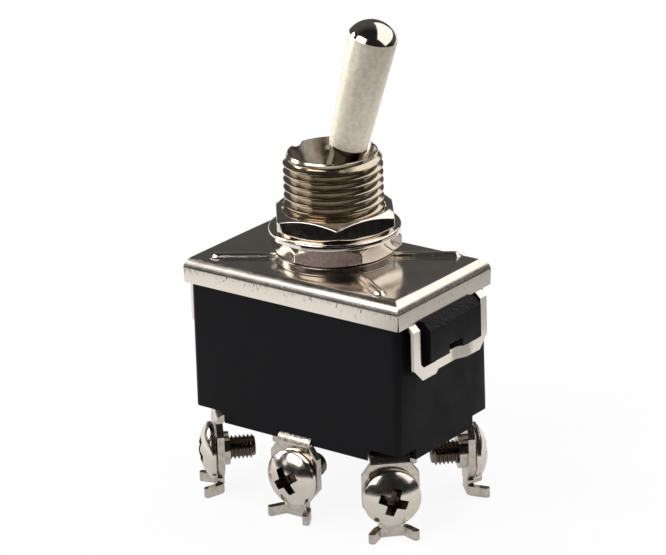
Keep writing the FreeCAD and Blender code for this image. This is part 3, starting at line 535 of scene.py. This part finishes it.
def bead(sizes):
    """One stamped bead along +X: a round back that flows into the sheet through a hollow foot."""
    bm = bmesh.new()
    rise = sizes.bead_rise
    slope = math.radians(64)
    back_share = 0.86
    back = sizes.bead_width / 2 / math.sin(slope) * back_share
    foot = (rise - back * (1 - math.cos(slope))) / (1 - math.cos(slope))
    steps = 8
    outline = [(back * math.sin(slope * i / steps), rise - back * (1 - math.cos(slope * i / steps)))
               for i in range(steps + 1)]
    edge = (back + foot) * math.sin(slope)
    outline += [(edge - foot * math.sin(slope * i / steps), foot * (1 - math.cos(slope * i / steps)))
                for i in range(steps - 1, -1, -1)]
    run = math.hypot(*BEAD_END) * MM
    start = 6.9 * MM
    sink = -0.2 * MM
    outline.append((outline[-1][0], sink))
    verts = [bm.verts.new((run, -y, z)) for y, z in outline]
    edges = [bm.edges.new(pair) for pair in zip(verts, verts[1:])]
    bmesh.ops.spin(bm, geom=verts + edges, cent=(run, 0, 0), axis=Z, angle=math.pi, steps=24, use_merge=False)
    bmesh.ops.remove_doubles(bm, verts=bm.verts, dist=MERGE)
    straight = [e for e in bm.edges if e.is_boundary and all(abs(v.co.x - run) < 0.001 * MM for v in e.verts)]
    made = bmesh.ops.extrude_edge_only(bm, edges=straight)["geom"]
    moved = [v for v in made if isinstance(v, bmesh.types.BMVert)]
    bmesh.ops.translate(bm, vec=(start - run, 0, 0), verts=moved)
    bmesh.ops.holes_fill(bm, edges=[e for e in bm.edges if e.is_boundary], sides=0)
    bmesh.ops.recalc_face_normals(bm, faces=bm.faces)
    return bm


def latch_loops(bm):
    """Draws the two latch loops down out of the end flanges, from their legs to the middle of their bars."""
    face = CAP_HIGH.x
    outer = 7.5 * MM
    inner = 6.2 * MM
    for y in (-outer, -inner, inner, outer):
        ends = [f for f in bm.faces if abs(f.normal.x) > 0.9]
        edges = {e for f in ends for e in f.edges}
        verts = {v for f in ends for v in f.verts}
        bmesh.ops.bisect_plane(bm, geom=ends + list(edges) + list(verts), dist=MERGE, plane_co=(0, y, 0),
                               plane_no=Y)
    bar_top = CAP_TOP - 8.95 * MM
    bar_low = CAP_TOP - 10.5 * MM
    start = FLANGE_LOW - 0.05 * MM
    jog = FLANGE_LOW - 0.7 * MM
    cut = 1.6 * MM
    inner_cut = 0.55 * MM
    dip = 3.2 * MM
    flat = 1.8 * MM
    back = face - 0.65 * MM
    # Each station holds the place of the leg's outer edge and of its inner edge
    stations = (((FLANGE_END, outer, start), (FLANGE_END, inner, start)),
                ((face, outer, jog), (face, inner, jog)),
                ((face, outer, bar_low + cut), (face, inner, bar_top + inner_cut)),
                ((face, outer - cut, bar_low), (face, inner - inner_cut, bar_top)),
                ((face, dip, bar_low), (face, dip, bar_top)),
                ((back, flat, bar_low), (back, flat, bar_top)),
                ((back, 0, bar_low), (back, 0, bar_top)))
    near = 0.01 * MM
    legs = [e for e in bm.edges if e.is_boundary and all(
        abs(v.co.z - FLANGE_LOW) < near and abs(v.co.x) > FLANGE_END - 10 * near
        and inner - near < abs(v.co.y) < outer + near for v in e.verts)]
    for edge in legs:
        end = math.copysign(1, edge.verts[0].co.x)
        side = math.copysign(1, edge.verts[0].co.y)
        for far, close in stations:
            made = bmesh.ops.extrude_edge_only(bm, edges=[edge])["geom"]
            edge = next(g for g in made if isinstance(g, bmesh.types.BMEdge))
            # The new edge's outer point comes from the one that lay farther out, or lower on the bar
            one, two = edge.verts
            before_one, before_two = (abs(next(e.other_vert(v) for e in v.link_edges if e is not edge).co.y)
                                      for v in (one, two))
            level = abs(before_one - before_two) < 0.001 * MM
            swapped = before_one <= before_two and not (level and one.co.z < two.co.z)
            lead, trail = (two, one) if swapped else (one, two)
            lead.co = (far[0] * end, far[1] * side, far[2])
            trail.co = (close[0] * end, close[1] * side, close[2])
    bmesh.ops.remove_doubles(bm, verts=bm.verts, dist=0.001 * MM)


def collar(sheet):
    """The rim that the sheet is drawn up to round the bushing, from the cap's top upwards."""
    bm = bmesh.new()
    round_edge = 0.22 * MM
    outside = 7.15 * MM
    inside = 6.7 * MM
    mouth = 5.25 * MM
    sink = -0.2 * MM
    outline = [(mouth, COLLAR_RISE)]
    outline += arc((outside - round_edge, COLLAR_RISE - round_edge), round_edge, 90, 0, 8)
    outline += arc((outside + round_edge, round_edge), round_edge, 180, 270, 8)
    outline += [(outside + round_edge, sink), (inside, sink), (inside, COLLAR_RISE - sheet),
                (mouth, COLLAR_RISE - sheet)]
    spun(bm, outline, 128)
    bmesh.ops.recalc_face_normals(bm, faces=bm.faces)
    # The collar takes the third finish: nickel painted darker, as painted shade
    for face in bm.faces:
        face.material_index = 2
    return bm


class SWITCH_OT_cap(bpy.types.Operator):
    """Folds the plated cap with its collar, beads and latch loops"""
    bl_idname = "switch.cap"
    bl_label = "Cap"

    def execute(self, context):
        sizes = context.scene.switch_sizes
        bm = bmesh.new()
        tray(bm)
        latch_loops(bm)
        bmesh.ops.recalc_face_normals(bm, faces=bm.faces)
        if sum(f.normal.z * f.calc_area() for f in bm.faces) < 0:
            bmesh.ops.reverse_faces(bm, faces=bm.faces)
        sheet = thickened(plain_mesh("tray", bm), sizes.sheet)
        hole = bmesh.new()
        radius = 6.6 * MM
        bmesh.ops.create_cone(hole, cap_ends=True, segments=96, radius1=radius, radius2=radius, depth=4 * MM)
        bmesh.ops.translate(hole, vec=(0, 0, CAP_TOP), verts=hole.verts)
        bm = bmesh.new()
        bm.from_mesh(boolean(sheet, mesh_from("hole", hole), "DIFFERENCE"))
        top = Matrix.Translation((0, 0, CAP_TOP))
        join(bm, collar(sizes.sheet), top)
        heading = math.atan2(BEAD_END[1], BEAD_END[0])
        for turn in (heading, math.pi - heading, math.pi + heading, -heading):
            ridge = bead(sizes)
            for face in ridge.faces:
                face.material_index = 1
            join(bm, ridge, top @ Matrix.Rotation(turn, 4, "Z"))
        piece("cap_sheet", mesh_from("cap_sheet", bm), "housing", "cap_nickel", "cap", FINISHES["cap"],
              FINISHES["bead"], FINISHES["collar"], edge=sizes.edge_break, smooth=35)
        return {"FINISHED"}


class SWITCH_OT_bushing(bpy.types.Operator):
    """Turns the threaded bushing with its funnel mouth and keyway"""
    bl_idname = "switch.bushing"
    bl_label = "Bushing"

    def execute(self, context):
        sizes = context.scene.switch_sizes
        crest = 6.0 * MM
        root = crest - sizes.thread_depth
        low = COLLAR_TOP
        high = BUSH_HIGH.z
        bm = bmesh.new()
        helix(bm, root, crest, sizes.thread_pitch, low, high)
        chamfer = 0.95 * MM
        end = 0.01 * MM
        taper(bm, lambda z: root if z > high - end or z < low + end else
              min(crest, root + (high - z) * (crest - root) / chamfer))
        # The outline inside the thread: the funnel, the ball's seat, the foot below the cap and its neck
        foot = 6.3 * MM
        foot_top = low - sizes.sheet
        foot_low = BUSH_LOW.z
        foot_bore = 4.3 * MM
        neck = 5.2 * MM
        seat = PIVOT.z
        bore = 3.45 * MM
        bore_low = seat - 3.4 * MM
        throat = 3.0 * MM
        throat_z = seat + math.sqrt(bore ** 2 - throat ** 2)
        mouth = 5.25 * MM
        lip = 0.1 * MM
        rise = math.degrees(math.acos(throat / bore))
        ball = [(r, seat + z) for r, z in arc((0, 0), bore, 0, rise, 10)]
        outline = [(root, high)] + arc((mouth + lip, high - lip), lip, 90, 165, 4)
        outline += [(throat, throat_z)] + ball[::-1][1:]
        outline += [(bore, bore_low), (foot_bore, foot_low), (foot, foot_low), (foot, foot_top),
                    (neck, foot_top), (neck, low), (root, low)]
        inner = bmesh.new()
        verts = [inner.verts.new((r, 0, z)) for r, z in outline]
        edges = [inner.edges.new(pair) for pair in zip(verts, verts[1:])]
        bmesh.ops.spin(inner, geom=verts + edges, cent=(0, 0, 0), axis=Z, angle=math.tau, steps=72,
                       use_merge=True)
        join(bm, inner)
        bmesh.ops.remove_doubles(bm, verts=bm.verts, dist=0.004 * MM)
        bmesh.ops.holes_fill(bm, edges=[e for e in bm.edges if e.is_boundary], sides=0)
        key = bmesh.new()
        box(key, (-7 * MM, -1 * MM, low + 0.3 * MM), (-5.15 * MM, 1 * MM, high + 1 * MM))
        mesh = boolean(mesh_from("bushing", bm), mesh_from("key", key), "DIFFERENCE")
        # Inward faces above the seat take the second finish: the bore's nickel, painted darker as painted shade
        for face in mesh.polygons:
            outward = Vector((face.center.x, face.center.y, 0)).dot(face.normal)
            face.material_index = int(outward < 0 and face.center.z > seat)
        piece("bushing_turned", mesh, "housing", "bushing_nickel", "bushing", FINISHES["turned"],
              FINISHES["funnel"], smooth=32)
        return {"FINISHED"}


def hexagon_nut(low, high, turn):
    """A hexagon nut between two heights, turned by degrees, with both faces and its bore chamfered."""
    across = 7.0 * MM
    corner = across / math.cos(math.radians(30))
    bm = bmesh.new()
    bmesh.ops.create_cone(bm, cap_ends=True, segments=6, radius1=corner, radius2=corner, depth=high - low)
    place = Matrix.Translation((0, 0, (low + high) / 2)) @ Matrix.Rotation(math.radians(turn), 4, "Z")
    bmesh.ops.transform(bm, matrix=place, verts=bm.verts)
    upright = [e for e in bm.edges if abs(e.verts[0].co.z - e.verts[1].co.z) > MM]
    bmesh.ops.bevel(bm, geom=upright, offset=0.12 * MM, affect="EDGES", segments=3, profile=0.5, material=-1)
    bore = 6.02 * MM
    lead = 6.35 * MM
    lead_drop = 0.35 * MM
    flat = 6.8 * MM
    reach = 8.3 * MM
    drop = (reach - flat) * math.tan(math.radians(28))
    ring = bmesh.new()
    spun(ring, [(bore, low + lead_drop), (lead, low), (flat, low), (reach, low + drop),
                (reach, high - drop), (flat, high), (lead, high), (bore, high - lead_drop)], 120)
    return boolean(mesh_from("hexagon", bm), mesh_from("ring", ring), "INTERSECT")


def flat_washer(low, high):
    """A punched washer between two heights: its top edge is rounder than its lower one."""
    bore = 6.15 * MM
    outer = 8.0 * MM
    top = 0.25 * MM
    foot = 0.1 * MM
    bm = bmesh.new()
    outline = [(bore, low), (outer - foot, low)] + arc((outer - foot, low + foot), foot, -90, 0, 3)[1:]
    outline += arc((outer - top, high - top), top, 0, 90, 6) + [(bore, high)]
    spun(bm, outline, 144)
    return mesh_from("washer", bm)


class SWITCH_OT_nuts(bpy.types.Operator):
    """Makes the two hexagon nuts and the flat washer"""
    bl_idname = "switch.nuts"
    bl_label = "Nuts and washer"

    def execute(self, context):
        scraped = Matrix.Rotation(math.radians(-60), 3, "Z") @ X
        for name, node, turn in (("nut_lower", "lower_nut", 0), ("nut_upper", "upper_nut", 39)):
            low, high = (corner.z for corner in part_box(node))
            mesh = hexagon_nut(low, high, turn)
            for face in mesh.polygons:
                face.material_index = int(turn == 0 and face.normal.dot(scraped) > 0.98)
            piece(name, mesh, "housing", "nut_nickel", node, FINISHES["nut"], FINISHES["scraped"],
                  edge=0.11 * MM, edge_angle=20, smooth=25)
        mesh = flat_washer(*(corner.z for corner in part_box("flat_washer")))
        piece("washer_flat", mesh, "housing", "nut_nickel", "flat_washer", FINISHES["nut"])
        return {"FINISHED"}


class SWITCH_OT_lever(bpy.types.Operator):
    """Turns the tapered lever with its ball, neck, tail and bright domed end"""
    bl_idname = "switch.lever"
    bl_label = "Lever"

    def execute(self, context):
        # Radii and heights are in millimetres from the middle of the ball
        ball = 3.4
        neck = 2.2
        tail = 1.7
        tail_end = -15.0
        tail_edge = 0.4
        shoulder = 8.2
        low_radius = 2.33
        polish = 8.6
        rim = 23.1
        rim_radius = 2.92
        rise = 1.745
        break_height = 0.06
        sphere = (rim_radius ** 2 + rise ** 2) / (2 * rise)
        half = math.degrees(math.asin(rim_radius / sphere))
        outline = [(0, tail_end), (tail - tail_edge, tail_end), (tail, tail_end + tail_edge)]
        outline += arc((0, 0), ball, -math.degrees(math.acos(tail / ball)),
                       math.degrees(math.acos(neck / ball)), 24)
        grown = (rim_radius - low_radius) * (polish - shoulder) / (rim - shoulder)
        outline += [(2.05, 7.4), (2.26, shoulder - break_height), (low_radius, shoulder),
                    (low_radius + grown, polish), (rim_radius, rim - break_height), (rim_radius - 0.02, rim)]
        outline += arc((0, rim + rise - sphere), sphere, 90 - half, 90, 20)
        outline[-1] = (0, outline[-1][1])
        bm = bmesh.new()
        spun(bm, [(r * MM, z * MM) for r, z in outline], 96, closed=False)
        tilt = Matrix.Rotation(math.radians(16.6), 4, "Y")
        bmesh.ops.transform(bm, matrix=Matrix.Translation(PIVOT) @ tilt, verts=bm.verts)
        mesh = mesh_from("lever", bm)
        axis = tilt.to_3x3() @ Z
        for face in mesh.polygons:
            reach = (face.center - PIVOT).dot(axis)
            if reach > (rim - 0.02) * MM or reach < polish * MM:
                face.material_index = 1
        piece("lever_handle", mesh, "lever", "lever_nickel", "lever", FINISHES["lever"], FINISHES["dome"],
              smooth=30)
        return {"FINISHED"}


class SWITCH_OT_terminals(bpy.types.Operator):
    """Makes the six stamped and bent terminals"""
    bl_idname = "switch.terminals"
    bl_label = "Terminals"

    def execute(self, context):
        for place in OUTWARD:
            node = "terminal_" + place
            mesh = node_copy(node)
            for face in mesh.polygons:
                bent = face.center.z > BASE_LOW.z - 1.2 * MM and 0.15 < face.normal.z < 0.98
                face.material_index = int(bent and "middle" in place)
            piece("plate_" + place, mesh, "housing", "terminal_nickel", node, FINISHES["stamped"],
                  FINISHES["rubbed"], edge=0.12 * MM)
        return {"FINISHED"}


def screw_head(sizes):
    """A domed head over the origin with its cross recess, whose faces get the second finish."""
    head = 3.5 * MM
    foot = 0.15 * MM
    rim = 0.65 * MM
    dome = 1.25 * MM
    height = rim + dome
    sphere = (head ** 2 + dome ** 2) / (2 * dome)
    half = math.degrees(math.asin(head / sphere))
    bm = bmesh.new()
    outline = [(0, 0), (head - foot, 0), (head, foot), (head, rim - 0.05 * MM)]
    outline += arc((0, height - sphere), sphere, 90 - half + 1.2, 90, 16)
    outline[-1] = (0, height)
    spun(bm, outline, 72, closed=False)
    mesh = mesh_from("head", bm)
    depth = 1.5 * MM
    over = 0.3 * MM
    span = sizes.recess_span / 2
    wide = sizes.recess_width / 2
    for turn in (0, 90):
        wing = bmesh.new()
        made = box(wing, (-span, -wide, height - depth), (span, wide, height + over))
        low = [v for v in made if v.co.z < height]
        high = [v for v in made if v.co.z > height]
        bmesh.ops.scale(wing, vec=(0.45, 0.7, 1), verts=low)
        bmesh.ops.scale(wing, vec=(1 + 0.55 * over / depth, 1 + 0.3 * over / depth, 1), verts=high)
        quarter = Matrix.Rotation(math.radians(turn), 3, "Z")
        bmesh.ops.rotate(wing, cent=(0, 0, 0), matrix=quarter, verts=wing.verts)
        mesh = boolean(mesh, mesh_from("wing", wing), "DIFFERENCE")
    cone = bmesh.new()
    bmesh.ops.create_cone(cone, cap_ends=True, segments=24, radius1=0.55 * MM, radius2=1.02 * MM,
                          depth=2.0 * MM)
    bmesh.ops.translate(cone, vec=(0, 0, height - 0.65 * MM), verts=cone.verts)
    mesh = boolean(mesh, mesh_from("cone", cone), "DIFFERENCE")
    # Faces inside the recess take the second finish, painted dark brown as painted shade
    for face in mesh.polygons:
        radius = math.hypot(face.center.x, face.center.y)
        surface = height - sphere + math.sqrt(sphere ** 2 - radius ** 2)
        if radius < head * 0.7 and 0.1 * MM < face.center.z < surface - 0.03 * MM:
            face.material_index = 1
    return mesh


def binding_screw(sizes):
    """A cross-recessed screw along Z, its seat at the origin and its head upwards."""
    crest = 1.49 * MM
    root = crest - sizes.screw_depth
    tip = -5.05 * MM
    point = 0.1 * MM
    sunk = 0.1 * MM
    shank = bmesh.new()
    helix(shank, root, crest, sizes.screw_pitch, tip, sunk, steps=32)
    taper(shank, lambda z: min(crest, root - point + (z - tip) * 1.2))
    bmesh.ops.holes_fill(shank, edges=[e for e in shank.edges if e.is_boundary], sides=0)
    bmesh.ops.recalc_face_normals(shank, faces=shank.faces)
    # The thread takes the third finish, painted darker as painted shade
    for face in shank.faces:
        face.material_index = 2
    bm = bmesh.new()
    bm.from_mesh(screw_head(sizes))
    join(bm, shank)
    return plain_mesh("binding_screw", bm)


class SWITCH_OT_screws(bpy.types.Operator):
    """Makes the six binding screws, each recess turned its own way"""
    bl_idname = "switch.screws"
    bl_label = "Binding screws"

    def execute(self, context):
        sizes = context.scene.switch_sizes
        pattern = binding_screw(sizes)
        for place, facing in OUTWARD.items():
            out = Vector(facing + (0,)).normalized()
            mount = next(m for m in frame["record"]["mounts"] if m["name"] == "wire_" + place)
            seat = Vector(mount["pos_m"]) + out * 0.1 * MM
            turn = Matrix.Rotation(math.radians(CROSS_TURN[place]), 4, "Z")
            aim = out.to_track_quat("Z", "Y").to_matrix().to_4x4()
            mesh = pattern.copy()
            mesh.transform(Matrix.Translation(seat) @ aim @ turn)
            piece("binding_screw_" + place, mesh, "housing", "screw_nickel", "screw_" + place,
                  FINISHES["screw"], FINISHES["recess"], FINISHES["thread"], smooth=30)
        bpy.data.meshes.remove(pattern)
        return {"FINISHED"}


class SWITCH_OT_stage(bpy.types.Operator):
    """Sets the pale floor, the soft lamps and the camera"""
    bl_idname = "switch.stage"
    bl_label = "Studio"

    def execute(self, context):
        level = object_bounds()[0][2]
        self.floor(level)
        self.room()
        # Beyond the white paper the room is dark in front and grey at the right, which only the plate shows
        for name, glows, headings, reaches in (
                ("card_dark", (0.9, 0.008), (-113, 32), (48, 104, 900)),
                ("card_far_left", (0.9, 0.015), (-156, -113), (120, 145, 900)),
                ("card_grey", (0.9, 0.52), (32, 78), (68, 84, 130)),
                ("card_far_right", (0.52, 0.02), (32, 78), (130, 150, 900))):
            self.card(name, glows, headings, [r * MM for r in reaches], level)
        for name, heading, height, size, radiance in (
                ("softbox_right", 50, 42, (1.05, 0.54), 1.3),
                ("softbox_left", 254, 36, (0.42, 0.29), 4.6),
                ("softbox_edge", 196, 22, (0.16, 0.30), 9.0),
                ("strip_fold", 230, 12, (0.12, 0.08), 1.2)):
            self.lamp(name, math.radians(heading), math.radians(height), size, radiance)
        self.camera()
        context.scene.view_settings.view_transform = "Standard"
        return {"FINISHED"}

    def floor(self, level):
        """White paper that the camera and the plate see evenly lit, with the switch's shadow on it."""
        bm = bmesh.new()
        bmesh.ops.create_grid(bm, x_segments=1, y_segments=1, size=3.0)
        bmesh.ops.translate(bm, vec=(0, 0, level), verts=bm.verts)
        mesh = plain_mesh("floor", bm)
        material = bpy.data.materials.new("white_paper")
        tree = cleared(material)
        paper = add(tree, "ShaderNodeBsdfDiffuse", Color=(0.86, 0.86, 0.86, 1)).outputs[0]
        path = add(tree, "ShaderNodeLightPath").outputs
        # The plate shows the switch's own soft shade on the paper round its feet
        place = add(tree, "ShaderNodeTexCoord").outputs["Object"]
        reach = add(tree, "ShaderNodeVectorMath", [(0, place)], operation="LENGTH").outputs["Value"]
        shade = add(tree, "ShaderNodeMapRange", [("Value", reach)], From_Min=28 * MM, From_Max=72 * MM,
                    To_Min=0.5, To_Max=0.0).outputs[0]
        shade = add(tree, "ShaderNodeMath", [(0, shade), (1, path["Is Glossy Ray"])],
                    operation="MULTIPLY").outputs[0]
        lit = add(tree, "ShaderNodeMath", [(0, 1.0), (1, shade)], operation="SUBTRACT").outputs[0]
        white = add(tree, "ShaderNodeEmission", [("Strength", lit)], Color=(1, 1, 1, 1)).outputs[0]
        seen = path["Is Camera Ray"]
        for kind in ("Is Glossy Ray", "Is Transmission Ray"):
            seen = add(tree, "ShaderNodeMath", [(0, seen), (1, path[kind])], operation="MAXIMUM").outputs[0]
        share = add(tree, "ShaderNodeMath", [(0, seen), (1, 0.9)], operation="MULTIPLY").outputs[0]
        mix = add(tree, "ShaderNodeMixShader", [(0, share), (1, paper), (2, white)]).outputs[0]
        add(tree, "ShaderNodeOutputMaterial", [("Surface", mix)])
        mesh.materials.append(material)
        linked("floor", mesh)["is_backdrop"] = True

    def room(self):
        """A plain white room, which the plate sees as a dim wall behind and darkness over and in front."""
        world = bpy.data.worlds.new("studio")
        bpy.context.scene.world = world
        tree = cleared(world)
        path = add(tree, "ShaderNodeLightPath").outputs
        aim = add(tree, "ShaderNodeTexCoord").outputs["Generated"]
        behind = add(tree, "ShaderNodeVectorMath", [(0, aim), (1, (-0.6, 0.8, 0))],
                     operation="DOT_PRODUCT").outputs["Value"]
        dim = add(tree, "ShaderNodeMapRange", [("Value", behind)], From_Min=0.0, From_Max=0.5,
                  To_Min=0.015, To_Max=0.08).outputs[0]
        neutral = (1, 1, 1, 1)
        plain = add(tree, "ShaderNodeBackground", Color=neutral, Strength=0.45).outputs[0]
        dark = add(tree, "ShaderNodeBackground", [("Strength", dim)], Color=neutral).outputs[0]
        white = add(tree, "ShaderNodeBackground", Color=neutral, Strength=1.0).outputs[0]
        lit = add(tree, "ShaderNodeMixShader", [(0, path["Is Glossy Ray"]), (1, plain), (2, dark)]).outputs[0]
        seen = add(tree, "ShaderNodeMixShader", [(0, path["Is Camera Ray"]), (1, lit), (2, white)]).outputs[0]
        add(tree, "ShaderNodeOutputWorld", [("Surface", seen)])

    def card(self, name, glows, headings, reaches, level):
        """A sheet on the floor, seen only in reflections, between two headings in degrees. Its glow runs
        from the first value to the second between the first two of its three distances, and then stays."""
        first, last = (math.radians(heading) for heading in headings)
        inner, soft, outer = reaches
        turned = Matrix.Rotation(first, 3, "Z")
        bm = bmesh.new()
        ends = [bm.verts.new(turned @ Vector((reach, 0, level + MM))) for reach in (inner, outer)]
        bmesh.ops.spin(bm, geom=ends + [bm.edges.new(ends)], cent=(0, 0, 0), axis=Z, angle=last - first,
                       steps=24, use_merge=False)
        mesh = plain_mesh(name, bm)
        item = linked(name, mesh)
        material = bpy.data.materials.new(name)
        tree = cleared(material)
        place = add(tree, "ShaderNodeTexCoord").outputs["Object"]
        away = add(tree, "ShaderNodeVectorMath", [(0, place)], operation="LENGTH").outputs["Value"]
        fade = add(tree, "ShaderNodeMapRange", [("Value", away)], From_Min=inner, From_Max=soft,
                   To_Min=glows[0], To_Max=glows[1]).outputs[0]
        glow = add(tree, "ShaderNodeEmission", [("Strength", fade)], Color=(1, 1, 1, 1)).outputs[0]
        add(tree, "ShaderNodeOutputMaterial", [("Surface", glow)])
        mesh.materials.append(material)
        item.visible_camera = False
        item.visible_diffuse = False
        item.visible_shadow = False
        item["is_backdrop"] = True

    def lamp(self, name, heading, height, size, radiance):
        """A soft rectangular lamp that faces the origin from a heading and a height angle."""
        distance = 0.55
        data = bpy.data.lights.new(name, "AREA")
        data.shape = "RECTANGLE"
        data.size, data.size_y = size
        data.energy = radiance * math.pi * size[0] * size[1]
        away = Vector((math.cos(heading) * math.cos(height), math.sin(heading) * math.cos(height),
                       math.sin(height)))
        aim = away.to_track_quat("Z", "Y").to_matrix().to_4x4()
        linked(name, data).matrix_world = Matrix.Translation(away * distance) @ aim

    def camera(self):
        """The camera stands where the photograph's stood."""
        turn, rise, roll = math.radians(37.379), math.radians(20.386), math.radians(-1.938)
        back = Vector((math.sin(turn) * math.cos(rise), -math.cos(turn) * math.cos(rise), math.sin(rise)))
        level = Vector((math.cos(turn), math.sin(turn), 0))
        up = back.cross(level)
        right = level * math.cos(roll) + up * math.sin(roll)
        head = up * math.cos(roll) - level * math.sin(roll)
        # Its place along its own three directions from the middle of the cap's top, in millimetres
        aside, above, distance = -0.357, -2.564, 419.086
        camera = bpy.data.cameras.new("camera")
        camera.lens = 188.40
        camera.sensor_width = 36.0
        camera.clip_end = 20.0
        view = linked("camera", camera)
        view.matrix_world = Matrix((right, head, back)).transposed().to_4x4()
        view.location = (right * aside + head * above + back * distance) * MM + Vector((0, 0, CAP_TOP))
        bpy.context.scene.camera = view


class SWITCH_PT_panel(bpy.types.Panel):
    """Lists the sizes, the colours and the pieces of the switch"""
    bl_idname = "SWITCH_PT_panel"
    bl_label = "Panel toggle switch"
    bl_space_type = "VIEW_3D"
    bl_region_type = "UI"
    bl_category = "Switch"

    def draw(self, context):
        for group in (context.scene.switch_sizes, context.scene.switch_colours):
            for key in group.bl_rna.properties.keys():
                if key not in ("rna_type", "name"):
                    self.layout.prop(group, key)
        for operator in OPERATORS:
            self.layout.operator(operator.bl_idname)


OPERATORS = (SWITCH_OT_finishes, SWITCH_OT_base, SWITCH_OT_cap, SWITCH_OT_bushing, SWITCH_OT_nuts,
             SWITCH_OT_lever, SWITCH_OT_terminals, SWITCH_OT_screws, SWITCH_OT_stage)
CLASSES = (SwitchSizes, SwitchColours) + OPERATORS + (SWITCH_PT_panel,)


def register():
    for item in CLASSES:
        bpy.utils.register_class(item)
    bpy.types.Scene.switch_sizes = bpy.props.PointerProperty(type=SwitchSizes)
    bpy.types.Scene.switch_colours = bpy.props.PointerProperty(type=SwitchColours)


def unregister():
    del bpy.types.Scene.switch_colours
    del bpy.types.Scene.switch_sizes
    for item in reversed(CLASSES):
        bpy.utils.unregister_class(item)


def main():
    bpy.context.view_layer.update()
    register()
    for operator in OPERATORS:
        group, name = operator.bl_idname.split(".")
        getattr(getattr(bpy.ops, group), name)()


if __name__ == "__main__":
    main()
